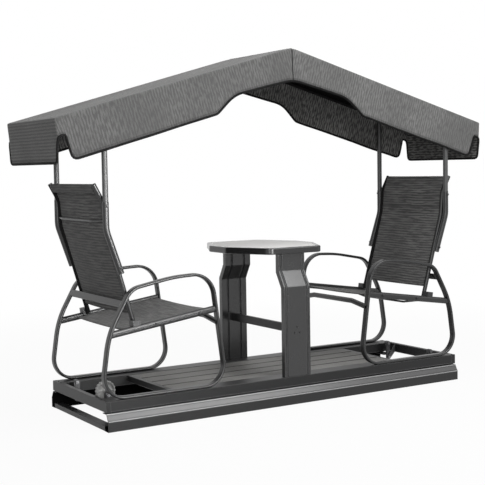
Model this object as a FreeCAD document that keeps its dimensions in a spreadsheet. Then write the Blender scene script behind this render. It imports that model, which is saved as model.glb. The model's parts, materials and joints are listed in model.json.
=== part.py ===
import FreeCAD, Part
import math
import os
from types import SimpleNamespace

import Sketcher
from FreeCAD import Placement, Rotation, Vector

# Platform glider: two facing chairs, a table and a gabled canopy on a platform hung in a low base.
# Millimetres. X runs along the platform, Y to the rear, Z up. The origin is on the ground, under
# the middle of the table. Lengths in X and Y are distances from the middle unless the name says else.

SIZES = {
    # stationary base
    "half_length": 1160,
    "base_outer": 373,
    "fascia_foot": 52,
    "fascia_top_outer": 352,
    "fascia_wall": 3,
    "fascia_flange": 45,
    "bead_radius": 2.5,
    "end_bar_width": 49,
    "end_bar_height": 26,
    "end_bar_wall": 2,
    # gliding platform
    "platform_top": 150,
    "rail_outer": 350,
    "rail_width": 105,
    "rail_height": 55,
    "rail_wall": 3,
    "glide_gap": 5,
    "end_board_thick": 26,
    "board_wall": 2,
    "edge_chamfer": 2,
    "deck_half_length": 755,
    "deck_beam_thick": 26,
    "deck_beam_height": 34,
    "slat_count": 4,
    "slat_gap": 16,
    "slat_thick": 18,
    "slat_drop": 2,
    # hangers that carry the platform
    "pivot_inset": 77,
    "pivot_z": 156,
    "arm_length": 90,
    "arm_y": 196,
    "arm_thick": 8,
    "arm_half_width": 15,
    "swing_deg": 20,
    "pin_radius": 6,
    "running_clearance": 0.08,
    "side_clearance": 0.5,
    "stand_thick": 6,
    "stand_half_width": 12,
    "stand_foot_half": 30,
    "stand_foot_margin": 8,
    "hub_radius": 15,
    "hub_length": 10,
    "head_radius": 9,
    "head_thick": 6,
    "bracket_thick": 6,
    "bracket_radius": 13,
    "bracket_margin": 5,
    "bumper_width": 20,
    "bumper_height": 24,
    "stop_clearance": 0.3,
    # glide lock on the platform's front left corner
    "lock_inset": 82,
    "lock_z": 168,
    "lock_radius": 54,
    "lock_width": 25,
    "lock_gap": 4,
    "lock_rim_round": 8,
    "lock_plate_thick": 6,
    "lock_boss_radius": 14,
    "spindle_radius": 6,
    "spindle_tail": 4,
    # table
    "table_top_z": 866,
    "rim_height": 36,
    "rim_half_x": 300,
    "rim_half_y": 345,
    "rim_flat_x": 170,
    "rim_flat_y": 90,
    "rim_border": 26,
    "rim_ledge": 56,
    "rim_corner_round": 45,
    "rim_edge_round": 7,
    "glass_thick": 6,
    "glass_clearance": 0.5,
    "leg_half_width": 86,
    "leg_thick": 30,
    "leg_wall": 6,
    "leg_inner_wall": 14,
    "leg_bend_low": 648,
    "leg_bend_high": 733,
    "leg_top_outer": 300,
    "groove_width": 4,
    "groove_depth": 4,
    "groove_margin": 12,
    "groove_pitch": 9,
    "inner_groove_width": 14,
    "inner_groove_depth": 10,
    "inner_groove_place": 43,
    "stretcher_z": 408,
    "stretcher_height": 45,
    "stretcher_thick": 22,
    "stretcher_wall": 2,
    "screw_radius": 5,
    "screw_head": 3,
    "screw_spread": 16,
    # chair side loops
    "loop_y": 330,
    "loop_width": 40,
    "loop_thick": 16,
    "loop_wall": 1.6,
    "butt_gap": 0.5,
    "loop_front_x": 453,
    "loop_front_radius": 110,
    "arm_front_x": 534,
    "arm_front_z": 757,
    "arm_front_radius": 125,
    "arm_mid_x": 760,
    "arm_mid_z": 748,
    "arm_mid_radius": 900,
    "arm_back_x": 1003,
    "arm_back_z": 703,
    "arm_back_radius": 105,
    "back_leg_x": 1128,
    "back_leg_z": 482,
    "back_leg_radius": 480,
    "loop_rear_x": 1176,
    "loop_rear_radius": 112,
    # seats
    "seat_rear_x": 1100,
    "seat_rear_z": 482,
    "seat_front_x": 505,
    "seat_front_z": 566,
    "seat_rail_height": 36,
    "seat_rail_width": 26,
    "seat_rail_wall": 1.8,
    "seat_sling_rear_x": 1010,
    "seat_sling_mid_x": 790,
    "seat_sling_front_x": 530,
    "seat_sag": 15,
    "sling_thick": 2,
    "sling_clearance": 0.3,
    "front_bar_z": 492,
    "front_bar_radius": 15,
    "front_bar_rise": 24,
    "bar_wall": 1.5,
    "flat_bar_z": 630,
    "flat_bar_height": 40,
    "flat_bar_thick": 16,
    "spreader_radius": 6,
    "spreader_x": 890,
    "spreader_low": 11,
    "spreader_dip": 22,
    "spreader_flat": 190,
    "spreader_bend": 120,
    "bolt_radius": 6,
    "bolt_head": 4,
    "bolt_front_x": 611,
    "bolt_rear_x": 867,
    "plug_thick": 2,
    # backrests
    "back_radius": 12.5,
    "back_wall": 1.5,
    "back_foot_x": 965,
    "back_foot_z": 516,
    "back_kink_x": 1108,
    "back_kink_z": 1005,
    "back_kink_radius": 150,
    "back_neck_x": 1120,
    "back_neck_z": 1140,
    "back_neck_radius": 70,
    "back_top_x": 1170,
    "back_top_z": 1232,
    "top_bar_radius": 10,
    "back_sling_low_z": 578,
    "back_sag": 18,
    "back_spreader_z": 1052,
    "back_spreader_dip": 26,
    "back_spreader_set": 7,
    "foot_bracket_x": 971,
    "foot_bracket_half": 20,
    "foot_bracket_bite": 6,
    "foot_bracket_rise": 44,
    "foot_bracket_outer": 338,
    # canopy
    "post_x": 1120,
    "post_y": 315,
    "post_radius": 14.5,
    "post_wall": 1.5,
    "post_overlap": 40,
    "socket_wall": 1.6,
    "socket_fit": 0.1,
    "socket_low_z": 785,
    "socket_bend_z": 1005,
    "socket_top_z": 1145,
    "socket_bend_radius": 150,
    "post_touch": 0.3,
    "post_bolt_rise": 24,
    "canopy_half_length": 1386,
    "canopy_half_width": 332,
    "ridge_z": 1952,
    "eave_z": 1557,
    "cover_thick": 2,
    "cover_touch": 0.3,
    "rafter_radius": 11,
    "rafter_wall": 1.5,
    "rafter_bend": 60,
    "eave_inset": 17,
    "valance_side": 228,
    "valance_peak": 173,
    "valance_shoulder": 156,
    "valance_step_in": 375,
    "valance_step_out": 478,
    "valance_low_round": 35,
    "valance_high_round": 150,
    "valance_peak_round": 30,
    "valance_end": 215,
    "notch_drop": 90,
    "notch_top": 45,
    "notch_foot": 94,
    "notch_end": 12,
    "notch_round": 20,
    "valance_corner_round": 45,
    "end_corner_round": 25,
}


class Size:
    """A number together with the sheet expression that gives it."""

    def __init__(self, number, text=None):
        self.number = float(number)
        self.text = text or repr(float(number))

    @staticmethod
    def of(amount):
        return amount if isinstance(amount, Size) else Size(amount)

    def __float__(self):
        return self.number

    def __neg__(self):
        return Size(-self.number, f"(0 - {self.text})")

    def __add__(self, other):
        other = Size.of(other)
        return Size(self.number + other.number, f"({self.text} + {other.text})")

    def __sub__(self, other):
        other = Size.of(other)
        return Size(self.number - other.number, f"({self.text} - {other.text})")

    def __mul__(self, other):
        other = Size.of(other)
        return Size(self.number * other.number, f"({self.text} * {other.text})")

    def __truediv__(self, other):
        other = Size.of(other)
        return Size(self.number / other.number, f"({self.text} / {other.text})")

    __radd__ = __add__
    __rmul__ = __mul__


def sine(angle):
    """Sine of a size in degrees."""
    return Size(math.sin(math.radians(angle.number)), f"sin({angle.text})")


def half_turn(run, rise):
    """Tangent of half the angle whose tangent is run over rise."""
    return Size(math.tan(math.atan(run.number / rise.number) / 2), f"tan(atan({run.text} / {rise.text}) / 2)")


doc = FreeCAD.newDocument("garden_swing")
sheet = doc.addObject("Spreadsheet::Sheet", "Sizes")
for row, (alias, number) in enumerate(SIZES.items(), start=1):
    sheet.set(f"A{row}", alias.replace("_", " "))
    sheet.set(f"B{row}", str(number))
    sheet.setAlias(f"B{row}", alias)
doc.recompute()
size = SimpleNamespace(**{alias: Size(sheet.get(alias), f"Sizes.{alias}") for alias in SIZES})

LEFT, RIGHT = -1, 1
FRONT, REAR = -1, 1
SIDE_NAMES = {LEFT: "left", RIGHT: "right"}
FLANK_NAMES = {FRONT: "front", REAR: "rear"}
CORNERS = [(side, flank) for side in (LEFT, RIGHT) for flank in (FRONT, REAR)]
ALONG_Y = Rotation(Vector(1, 0, 0), -90)
HALF_TURN = Rotation(Vector(0, 0, 1), 180)
nodes = []


def keep(node, label):
    """Name a finished sub-part and list it for writing."""
    node.Label = label
    nodes.append(node)
    return node


def group(label, members):
    """One node of several separate solids."""
    bundle = doc.addObject("Part::Compound", label)
    bundle.Links = members
    return keep(bundle, label)


def move(thing, x=0, y=0, z=0):
    """Tie a thing's place to the sheet."""
    for axis, amount in (("x", x), ("y", y), ("z", z)):
        thing.setExpression(f"Placement.Base.{axis}", Size.of(amount).text)
    return thing


def block(name, low, spans):
    """Rectangular block from its low corner and its three spans."""
    box = doc.addObject("Part::Box", name)
    for prop, span in zip(("Length", "Width", "Height"), spans):
        box.setExpression(prop, Size.of(span).text)
    return move(box, *low)


def rod(name, radius, length, start):
    """Round bar along +Y from its start point."""
    bar = doc.addObject("Part::Cylinder", name)
    bar.setExpression("Radius", Size.of(radius).text)
    bar.setExpression("Height", Size.of(length).text)
    bar.Placement = Placement(Vector(0, 0, 0), ALONG_Y)
    return move(bar, *start)


def fused(name, shapes):
    joined = doc.addObject("Part::MultiFuse", name)
    joined.Shapes = shapes
    return joined


def cut(name, base, tool):
    trimmed = doc.addObject("Part::Cut", name)
    trimmed.Base = base
    trimmed.Tool = tool
    return trimmed


def at(x, y, z):
    return Vector(float(x), float(y), float(z))


def flank_low(flank, near, far):
    """Low Y of a span that lies between two distances from the middle, on one flank."""
    return near if flank == REAR else -far


def sketch_on(body, role, name):
    sketch = body.newObject("Sketcher::SketchObject", name)
    plane = next(feature for feature in body.Origin.OriginFeatures if feature.Role == role)
    sketch.AttachmentSupport = [(plane, "")]
    sketch.MapMode = "FlatFace"
    return sketch


def tie_point(sketch, geometry, end, spot):
    """Tie one point of a sketch to two sheet expressions."""
    for kind, amount in zip(("DistanceX", "DistanceY"), spot):
        amount = Size.of(amount)
        if abs(amount.number) < 1e-9:
            axis = -2 if kind == "DistanceX" else -1
            sketch.addConstraint(Sketcher.Constraint("PointOnObject", geometry, end, axis))
            continue
        number = sketch.addConstraint(Sketcher.Constraint(kind, -1, 1, geometry, end, amount.number))
        sketch.setExpression(f"Constraints[{number}]", amount.text)


def add_outline(sketch, corners):
    """Closed outline of straight sides through the given corners."""
    first = sketch.GeometryCount
    count = len(corners)
    spots = [Vector(float(u), float(v), 0) for u, v in corners]
    for index in range(count):
        sketch.addGeometry(Part.LineSegment(spots[index], spots[(index + 1) % count]), False)
    for index in range(count):
        following = first + (index + 1) % count
        sketch.addConstraint(Sketcher.Constraint("Coincident", first + index, 2, following, 1))
    for index, corner in enumerate(corners):
        tie_point(sketch, first + index, 1, corner)


def add_circle(sketch, centre, radius):
    radius = Size.of(radius)
    u, v = centre
    circle = Part.Circle(Vector(float(u), float(v), 0), Vector(0, 0, 1), radius.number)
    geometry = sketch.addGeometry(circle, False)
    number = sketch.addConstraint(Sketcher.Constraint("Radius", geometry, radius.number))
    sketch.setExpression(f"Constraints[{number}]", radius.text)
    tie_point(sketch, geometry, 3, centre)


def pad(body, sketch, length, name):
    """Pad a sketch by half the length to each side of its plane."""
    feature = body.newObject("PartDesign::Pad", name)
    feature.Profile = sketch
    feature.SideType = "Symmetric"
    feature.setExpression("Length", Size.of(length).text)
    sketch.Visibility = False
    return feature


def pocket(body, sketch, name):
    """Cut a sketch right through, to both sides of its plane."""
    feature = body.newObject("PartDesign::Pocket", name)
    feature.Profile = sketch
    feature.SideType = "Symmetric"
    feature.Type = "ThroughAll"
    return feature


def plate(name, role, thickness, outline, discs=(), holes=()):
    """Flat plate: an outline with round ends added and holes cut, padded about its plane."""
    body = doc.addObject("PartDesign::Body", name)
    sketch = sketch_on(body, role, f"{name}_outline")
    add_outline(sketch, outline)
    pad(body, sketch, thickness, f"{name}_pad")
    for number, (centre, radius) in enumerate(discs):
        disc = sketch_on(body, role, f"{name}_disc{number}")
        add_circle(disc, centre, radius)
        pad(body, disc, thickness, f"{name}_disc_pad{number}")
    for number, (centre, radius) in enumerate(holes):
        hole = sketch_on(body, role, f"{name}_hole{number}")
        add_circle(hole, centre, radius)
        pocket(body, hole, f"{name}_hole_cut{number}")
    return body


def rectangle(width, height, inset=0):
    """Corners of a rectangle from the origin, drawn in by an inset."""
    left, low = Size.of(inset), Size.of(inset)
    right, high = width - inset, height - inset
    return [(left, low), (right, low), (right, high), (left, high)]


def eased_rectangle(width, height):
    """Corners of a rectangle from the origin with its four edges chamfered."""
    ease = size.edge_chamfer
    return [
        (ease, 0),
        (width - ease, 0),
        (width, ease),
        (width, height - ease),
        (width - ease, height),
        (ease, height),
        (0, height - ease),
        (0, ease),
    ]


def hollow_bar(name, role, width, height, wall, length):
    """Rectangular tube with eased edges and one edge on the origin, padded about its plane."""
    body = doc.addObject("PartDesign::Body", name)
    sketch = sketch_on(body, role, f"{name}_section")
    add_outline(sketch, eased_rectangle(width, height))
    add_outline(sketch, rectangle(width, height, wall))
    pad(body, sketch, length, f"{name}_pad")
    return body


def turned(thing, turn):
    """Turn a thing about the vertical through the origin before its place is tied."""
    thing.Placement = Placement(Vector(0, 0, 0), turn)
    return thing


# Places that several pieces share.
rail_low = size.platform_top - size.rail_height
rail_inner = size.rail_outer - size.rail_width
fascia_top = rail_low - size.glide_gap
end_inner = size.half_length - size.end_board_thick
pivot_x = size.half_length - size.pivot_inset
lock_x = size.half_length - size.lock_inset
low_pivot_z = size.pivot_z - size.arm_length
arm_inner = size.arm_y - size.arm_thick / 2
arm_outer = size.arm_y + size.arm_thick / 2
stand_inner = arm_outer + size.side_clearance
stand_outer = stand_inner + size.stand_thick
hub_outer = stand_outer + size.hub_length
bracket_outer = arm_inner - size.side_clearance
bracket_inner = bracket_outer - size.bracket_thick
bore_radius = size.pin_radius + size.running_clearance


def make_base():
    """Fascias and end bars that stand on the ground."""
    top, foot, wall = fascia_top, size.fascia_foot, size.fascia_wall
    outer, upper, flange = size.base_outer, size.fascia_top_outer, size.fascia_flange
    section = [
        (outer, 0),
        (outer, foot),
        (upper, top),
        (upper - flange, top),
        (upper - flange, top - wall),
        (upper - wall, top - wall),
        (outer - wall, foot - wall),
        (outer - wall, wall),
        (outer - flange, wall),
        (outer - flange, 0),
    ]
    for flank in (FRONT, REAR):
        name = f"base_fascia_{FLANK_NAMES[flank]}"
        body = plate(name, "YZ_Plane", size.half_length * 2, section)
        beads = sketch_on(body, "YZ_Plane", f"{name}_beads")
        add_circle(beads, (outer, foot), size.bead_radius)
        add_circle(beads, (upper, top - size.bead_radius), size.bead_radius)
        pad(body, beads, size.half_length * 2, f"{name}_bead_pad")
        if flank == FRONT:
            turned(body, HALF_TURN)
        keep(body, name)
    for side in (LEFT, RIGHT):
        name = f"base_end_bar_{SIDE_NAMES[side]}"
        length = (outer - flange) * 2
        bar = hollow_bar(name, "XZ_Plane", size.end_bar_width, size.end_bar_height, size.end_bar_wall, length)
        start = size.half_length - size.end_bar_width if side == RIGHT else -size.half_length
        keep(move(bar, x=start), name)


def make_stands():
    """Stands on the fascias' top flanges, with the hubs that carry the upper pivots."""
    foot_top = fascia_top - size.fascia_wall
    foot_low = foot_top - size.stand_thick
    foot_reach = size.fascia_top_outer - size.stand_foot_margin
    stands, bolts = [], []
    for side, flank in CORNERS:
        tag = f"{FLANK_NAMES[flank]}_{SIDE_NAMES[side]}"
        x = pivot_x * side
        foot = block(
            f"stand_foot_{tag}",
            (x - size.stand_foot_half, flank_low(flank, stand_inner, foot_reach), foot_low),
            (size.stand_foot_half * 2, foot_reach - stand_inner, size.stand_thick),
        )
        upright = block(
            f"stand_upright_{tag}",
            (x - size.stand_half_width, flank_low(flank, stand_inner, stand_outer), foot_low),
            (size.stand_half_width * 2, size.stand_thick, size.pivot_z - foot_low),
        )
        hub_low = flank_low(flank, stand_inner, hub_outer)
        hub = rod(f"stand_hub_{tag}", size.hub_radius, hub_outer - stand_inner, (x, hub_low, size.pivot_z))
        bore = rod(f"stand_bore_{tag}", bore_radius, hub_outer - stand_inner, (x, hub_low, size.pivot_z))
        whole = fused(f"stand_whole_{tag}", [foot, upright, hub])
        stands.append(cut(f"stand_{tag}", whole, bore))

        nut_outer = arm_inner - size.side_clearance
        nut_inner = nut_outer - size.head_thick
        shank_low = flank_low(flank, nut_inner, hub_outer)
        shank = rod(f"pivot_shank_{tag}", size.pin_radius, hub_outer - nut_inner, (x, shank_low, size.pivot_z))
        head_low = flank_low(flank, hub_outer, hub_outer + size.head_thick)
        head = rod(f"pivot_head_{tag}", size.head_radius, size.head_thick, (x, head_low, size.pivot_z))
        nut_low = flank_low(flank, nut_inner, nut_outer)
        nut = rod(f"pivot_nut_{tag}", size.head_radius, size.head_thick, (x, nut_low, size.pivot_z))
        bolts.append(fused(f"pivot_bolt_{tag}", [shank, head, nut]))
    group("hanger_stands", stands)
    group("upper_pivot_bolts", bolts)


def make_hangers():
    """Arms that hang from the stands and carry the platform's brackets."""
    half, length = size.arm_half_width, size.arm_length
    outline = [(-half, 0), (-half, -length), (half, -length), (half, 0)]
    ends = [(0, 0), (0, -length)]
    for side, flank in CORNERS:
        name = f"hanger_arm_{FLANK_NAMES[flank]}_{SIDE_NAMES[side]}"
        discs = [(spot, half) for spot in ends]
        holes = [(spot, bore_radius) for spot in ends]
        arm = plate(name, "XZ_Plane", size.arm_thick, outline, discs, holes)
        keep(move(arm, pivot_x * side, size.arm_y * flank, size.pivot_z), name)


def make_platform():
    """Side rails, end boards and the slatted deck."""
    rail_length = end_inner * 2
    for flank in (FRONT, REAR):
        name = f"platform_rail_{FLANK_NAMES[flank]}"
        rail = hollow_bar(name, "YZ_Plane", size.rail_width, size.rail_height, size.rail_wall, rail_length)
        bead = sketch_on(rail, "YZ_Plane", f"{name}_bead")
        add_circle(bead, (size.rail_width, size.bead_radius), size.bead_radius)
        pad(rail, bead, rail_length, f"{name}_bead_pad")
        if flank == FRONT:
            turned(rail, HALF_TURN)
        keep(move(rail, y=rail_inner * flank, z=rail_low), name)
    for side in (LEFT, RIGHT):
        name = f"platform_end_{SIDE_NAMES[side]}"
        thick, wall = size.end_board_thick, size.board_wall
        start = end_inner if side == RIGHT else -size.half_length
        profile = eased_rectangle(thick, size.rail_height)
        board = move(plate(f"{name}_board", "XZ_Plane", size.rail_outer * 2, profile), x=start, z=rail_low)
        hollow = block(
            f"{name}_hollow",
            (start + wall, wall - size.rail_outer, rail_low),
            (thick - wall * 2, (size.rail_outer - wall) * 2, size.rail_height - wall),
        )
        keep(cut(name, board, hollow), name)

        name = f"deck_beam_{SIDE_NAMES[side]}"
        depth = rail_inner * 2
        beam = hollow_bar(name, "XZ_Plane", size.deck_beam_thick, size.deck_beam_height, size.board_wall, depth)
        start = size.deck_half_length - size.deck_beam_thick if side == RIGHT else -size.deck_half_length
        keep(move(beam, x=start, z=size.platform_top - size.slat_drop - size.deck_beam_height), name)

    pitch = (rail_inner * 2 + size.slat_gap) / size.slat_count
    length = (size.deck_half_length - size.deck_beam_thick) * 2
    slats = []
    for index in range(round(size.slat_count.number)):
        slat = hollow_bar(
            f"deck_slat_{index + 1}", "YZ_Plane", pitch - size.slat_gap, size.slat_thick, size.board_wall, length
        )
        slats.append(move(slat, y=pitch * index - rail_inner, z=size.platform_top - size.slat_drop - size.slat_thick))
    group("deck_slats", slats)


def make_brackets():
    """Brackets, pins and bumpers on the end boards."""
    reach = end_inner - pivot_x
    high = size.platform_top - size.bracket_margin
    low = rail_low + size.bracket_margin
    boss = size.bracket_radius
    travel = size.arm_length * sine(size.swing_deg)
    bumper_thick = reach - size.stand_half_width - travel - size.stop_clearance
    brackets, pins, bumpers = [], [], []
    for side, flank in CORNERS:
        tag = f"{FLANK_NAMES[flank]}_{SIDE_NAMES[side]}"
        outline = [
            (reach * side, low - low_pivot_z),
            (reach * side, high - low_pivot_z),
            (boss * -0.7 * side, boss * 0.7),
            (boss * 0.7 * side, boss * -0.7),
        ]
        middle = (bracket_inner + bracket_outer) / 2
        bracket = plate(
            f"bracket_{tag}", "XZ_Plane", size.bracket_thick, outline, [((0, 0), boss)], [((0, 0), bore_radius)]
        )
        brackets.append(move(bracket, pivot_x * side, middle * flank, low_pivot_z))

        x = pivot_x * side
        pin_inner = bracket_inner - size.head_thick
        shank_low = flank_low(flank, pin_inner, arm_outer)
        shank = rod(f"pin_shank_{tag}", size.pin_radius, arm_outer - pin_inner, (x, shank_low, low_pivot_z))
        head_low = flank_low(flank, pin_inner, bracket_inner)
        head = rod(f"pin_head_{tag}", size.head_radius, size.head_thick, (x, head_low, low_pivot_z))
        pins.append(fused(f"pin_{tag}", [shank, head]))

        middle = (stand_inner + stand_outer) / 2
        half = size.bumper_width / 2
        low_y = flank_low(flank, middle - half, middle + half)
        low_z = rail_low + (size.rail_height - size.bumper_height) / 2
        low_x = end_inner - bumper_thick if side == RIGHT else -end_inner
        spans = (bumper_thick, size.bumper_width, size.bumper_height)
        bumpers.append(block(f"bumper_{tag}", (low_x, low_y, low_z), spans))
    group("hanger_brackets", brackets)
    group("lower_pivot_pins", pins)
    group("limit_bumpers", bumpers)


def make_lock():
    """Hand wheel that clamps the glide, on its own plate inside the front left corner."""
    wheel_far = bracket_inner - size.head_thick - size.lock_gap
    wheel_near = wheel_far - size.lock_width
    plate_far = wheel_near - size.side_clearance
    plate_near = plate_far - size.lock_plate_thick
    reach = end_inner - lock_x
    boss = size.lock_boss_radius
    outline = [
        (-reach, rail_low + size.bracket_margin - size.lock_z),
        (boss, rail_low + size.bracket_margin - size.lock_z),
        (boss, 0),
        (-boss, 0),
        (-reach, size.platform_top - size.bracket_margin - size.lock_z),
    ]
    spindle_bore = size.spindle_radius + size.running_clearance
    name = "lock_bracket"
    bracket = plate(
        name, "XZ_Plane", size.lock_plate_thick, outline, [((0, 0), boss)], [((0, 0), spindle_bore)]
    )
    keep(move(bracket, -lock_x, (plate_near + plate_far) * -0.5, size.lock_z), name)

    start = (-lock_x, -wheel_far, size.lock_z)
    disc = rod("lock_disc", size.lock_radius, size.lock_width, start)
    round_disc = doc.addObject("Part::Fillet", "lock_disc_round")
    doc.recompute()
    round_disc.Base = disc
    rims = [i + 1 for i, edge in enumerate(disc.Shape.Edges) if edge.Closed and len(edge.Vertexes) == 1]
    round_disc.Edges = [(rim, size.lock_rim_round.number, size.lock_rim_round.number) for rim in rims]
    bore = rod("lock_disc_bore", spindle_bore, size.lock_width, start)
    keep(cut("lock_wheel", round_disc, bore), "lock_wheel")

    tail_near = plate_near - size.spindle_tail
    spindle_start = (-lock_x, -(wheel_far + size.spindle_tail), size.lock_z)
    spindle = rod("spindle_bar", size.spindle_radius, wheel_far + size.spindle_tail - tail_near, spindle_start)
    keep(spindle, "lock_spindle")


def octagon(inset):
    """Corners of the table's outline, drawn in evenly."""
    run, rise = size.rim_half_x - size.rim_flat_x, size.rim_half_y - size.rim_flat_y
    half_x, half_y = size.rim_half_x - inset, size.rim_half_y - inset
    flat_x = size.rim_flat_x - half_turn(rise, run) * inset
    flat_y = size.rim_flat_y - half_turn(run, rise) * inset
    quarter = [(half_x, flat_y), (flat_x, half_y)]
    mirrored = [(-u, v) for u, v in reversed(quarter)]
    lower = [(-u, -v) for u, v in quarter] + [(u, -v) for u, v in reversed(quarter)]
    return quarter + mirrored + lower


def fillet(body, base, name, radius, wanted):
    """Round the edges of a feature that a test picks."""
    doc.recompute()
    picked = [f"Edge{number}" for number, edge in enumerate(base.Shape.Edges, start=1) if wanted(edge)]
    rounded = body.newObject("PartDesign::Fillet", name)
    rounded.Base = (base, picked)
    rounded.setExpression("Radius", radius.text)
    return rounded


def round_rim(rim, base):
    """Round the rim's outer corners, then the long edges above and below them."""
    border = [at(x, y, 0) for x, y in octagon(size.rim_border / 2)]
    middle = Part.Face(Part.makePolygon(border + border[:1]))

    def outside(edge):
        spots = [Vector(vertex.X, vertex.Y, 0) for vertex in edge.Vertexes]
        return not any(middle.isInside(spot, 0.001, True) for spot in spots)

    def upright(edge):
        return outside(edge) and edge.BoundBox.ZLength > float(size.rim_height) / 2

    def level(edge):
        return outside(edge) and edge.BoundBox.ZLength < 0.001

    corners = fillet(rim, base, "rim_corners", size.rim_corner_round, upright)
    fillet(rim, corners, "rim_edges", size.rim_edge_round, level)


def make_table():
    """Rim with its glass on two bent board legs, joined by a stretcher."""
    rim_low = size.table_top_z - size.rim_height
    name = "table_rim"
    rim = doc.addObject("PartDesign::Body", name)
    ring = sketch_on(rim, "XY_Plane", "rim_ring")
    add_outline(ring, octagon(Size(0)))
    add_outline(ring, octagon(size.rim_border + size.rim_ledge))
    pad(rim, ring, size.rim_height, "rim_pad")
    recess = sketch_on(rim, "XY_Plane", "rim_recess")
    add_outline(recess, octagon(size.rim_border))
    recess.AttachmentOffset = Placement(Vector(0, 0, 0), Rotation())
    recess.setExpression("AttachmentOffset.Base.z", (size.rim_height / 2 - size.glass_thick).text)
    seat = rim.newObject("PartDesign::Pocket", "rim_seat")
    seat.Profile = recess
    seat.Type = "ThroughAll"
    seat.Reversed = True
    round_rim(rim, seat)
    keep(move(rim, z=rim_low + size.rim_height / 2), name)

    name = "table_glass"
    glass = plate(name, "XY_Plane", size.glass_thick, octagon(size.rim_border + size.glass_clearance))
    keep(move(glass, z=size.table_top_z - size.glass_thick / 2), name)

    inset, rise = size.rail_outer - size.leg_top_outer, size.leg_bend_high - size.leg_bend_low

    def leg_side(near, far):
        """Side view of a layer of the leg between two depths behind its outer face."""
        outer, top = size.rail_outer, size.leg_top_outer
        near_drop, far_drop = half_turn(inset, rise) * near, half_turn(inset, rise) * far
        face = [
            (outer - near, size.platform_top),
            (outer - near, size.leg_bend_low - near_drop),
            (top - near, size.leg_bend_high - near_drop),
            (top - near, rim_low),
        ]
        back = [
            (top - far, rim_low),
            (top - far, size.leg_bend_high - far_drop),
            (outer - far, size.leg_bend_low - far_drop),
            (outer - far, size.platform_top),
        ]
        return face + back

    first = size.leg_half_width - size.groove_margin
    places = [first, first - size.groove_pitch]
    for flank in (FRONT, REAR):
        name = f"table_leg_{FLANK_NAMES[flank]}"
        board = plate(f"{name}_board", "YZ_Plane", size.leg_half_width * 2, leg_side(Size(0), size.leg_thick))
        wall = size.leg_wall
        hollow = (size.leg_half_width - wall) * 2
        voids = [plate(f"{name}_hollow", "YZ_Plane", hollow, leg_side(wall, size.leg_thick - size.leg_inner_wall))]
        for number, place in enumerate(places + [-place for place in places]):
            strip = leg_side(Size(0), size.groove_depth)
            groove = plate(f"{name}_groove{number}", "YZ_Plane", size.groove_width, strip)
            voids.append(move(groove, x=place))
        for number, place in enumerate((size.inner_groove_place, -size.inner_groove_place)):
            strip = leg_side(size.leg_thick - size.inner_groove_depth, size.leg_thick)
            groove = plate(f"{name}_inner_groove{number}", "YZ_Plane", size.inner_groove_width, strip)
            voids.append(move(groove, x=place))
        grooved = cut(name, board, fused(f"{name}_voids", voids))
        if flank == FRONT:
            turned(grooved, HALF_TURN)
        keep(grooved, name)

    name = "table_stretcher"
    length = (size.rail_outer - size.leg_thick) * 2
    bar = hollow_bar(
        name, "XZ_Plane", size.stretcher_thick, size.stretcher_height, size.stretcher_wall, length
    )
    low_z = size.stretcher_z - size.stretcher_height / 2
    keep(move(bar, x=size.stretcher_thick * -0.5, z=low_z), name)

    spread = size.screw_spread
    triangle = [(0, spread), (spread, -spread), (-spread, -spread)]
    screws = []
    for flank in (FRONT, REAR):
        for number, (x, z) in enumerate(triangle):
            low_y = flank_low(flank, size.rail_outer, size.rail_outer + size.screw_head)
            spot = (x, low_y, size.stretcher_z + z)
            screws.append(rod(f"screw_{FLANK_NAMES[flank]}_{number}", size.screw_radius, size.screw_head, spot))
    group("table_screws", screws)


# Bent tubes and cloth, made from their centre lines.


def bent_path(corners, radii):
    """Straight runs joined by tangent arcs, one radius for each inner corner."""
    edges = []
    start = corners[0]
    for before, corner, after, radius in zip(corners, corners[1:], corners[2:], radii):
        into = (corner - before).normalize()
        out = (after - corner).normalize()
        turn = into.getAngle(out)
        reach = float(radius) * math.tan(turn / 2)
        first, last = corner - into * reach, corner + out * reach
        inward = (out - into).normalize()
        middle = corner + inward * (float(radius) / math.cos(turn / 2) - float(radius))
        edges.append(Part.LineSegment(start, first).toShape())
        edges.append(Part.Arc(first, middle, last).toShape())
        start = last
    edges.append(Part.LineSegment(start, corners[-1]).toShape())
    return Part.Wire(edges)


def round_section(corners, radius):
    """Circle across the start of a path, for any inset."""
    heading = (corners[1] - corners[0]).normalize()
    return lambda inset: Part.Wire(Part.Circle(corners[0], heading, float(radius) - inset).toShape())


def oval_section(corners, wide, width, thickness):
    """Flat oval across the start of a path: straight sides along wide, round ends."""
    heading = (corners[1] - corners[0]).normalize()
    thin = heading.cross(wide).normalize()

    def outline(inset):
        half = float(thickness) / 2 - inset
        straight = wide * (float(width) / 2 - inset - half)
        side, tip = thin * half, wide * half
        middle = corners[0]
        a, b = middle + straight + side, middle - straight + side
        c, d = middle - straight - side, middle + straight - side
        sides = [
            Part.LineSegment(a, b),
            Part.Arc(b, middle - straight - tip, c),
            Part.LineSegment(c, d),
            Part.Arc(d, middle + straight + tip, a),
        ]
        return Part.Wire([edge.toShape() for edge in sides])

    return outline


def tube(corners, radii, section, wall):
    """A bent tube, as its wall and as the full bar that it fills."""
    path = bent_path(corners, radii)
    bar = path.makePipeShell([section(0)], True, False)
    bore = path.makePipeShell([section(float(wall))], True, False)
    return bar.cut(bore), bar


def largest(shape):
    return max(shape.Solids, key=lambda solid: solid.Volume)


def feature(name, solids):
    """A node whose solids are made from centre lines."""
    made = doc.addObject("Part::Feature", name)
    made.Shape = solids[0] if len(solids) == 1 else Part.Compound(solids)
    return keep(made, name)


def seat_height(x):
    """Height of the seat rails' centre line at a distance from the middle."""
    slope = (size.seat_front_z - size.seat_rear_z) / (size.seat_rear_x - size.seat_front_x)
    return size.seat_rear_z + slope * (size.seat_rear_x - x)


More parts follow.
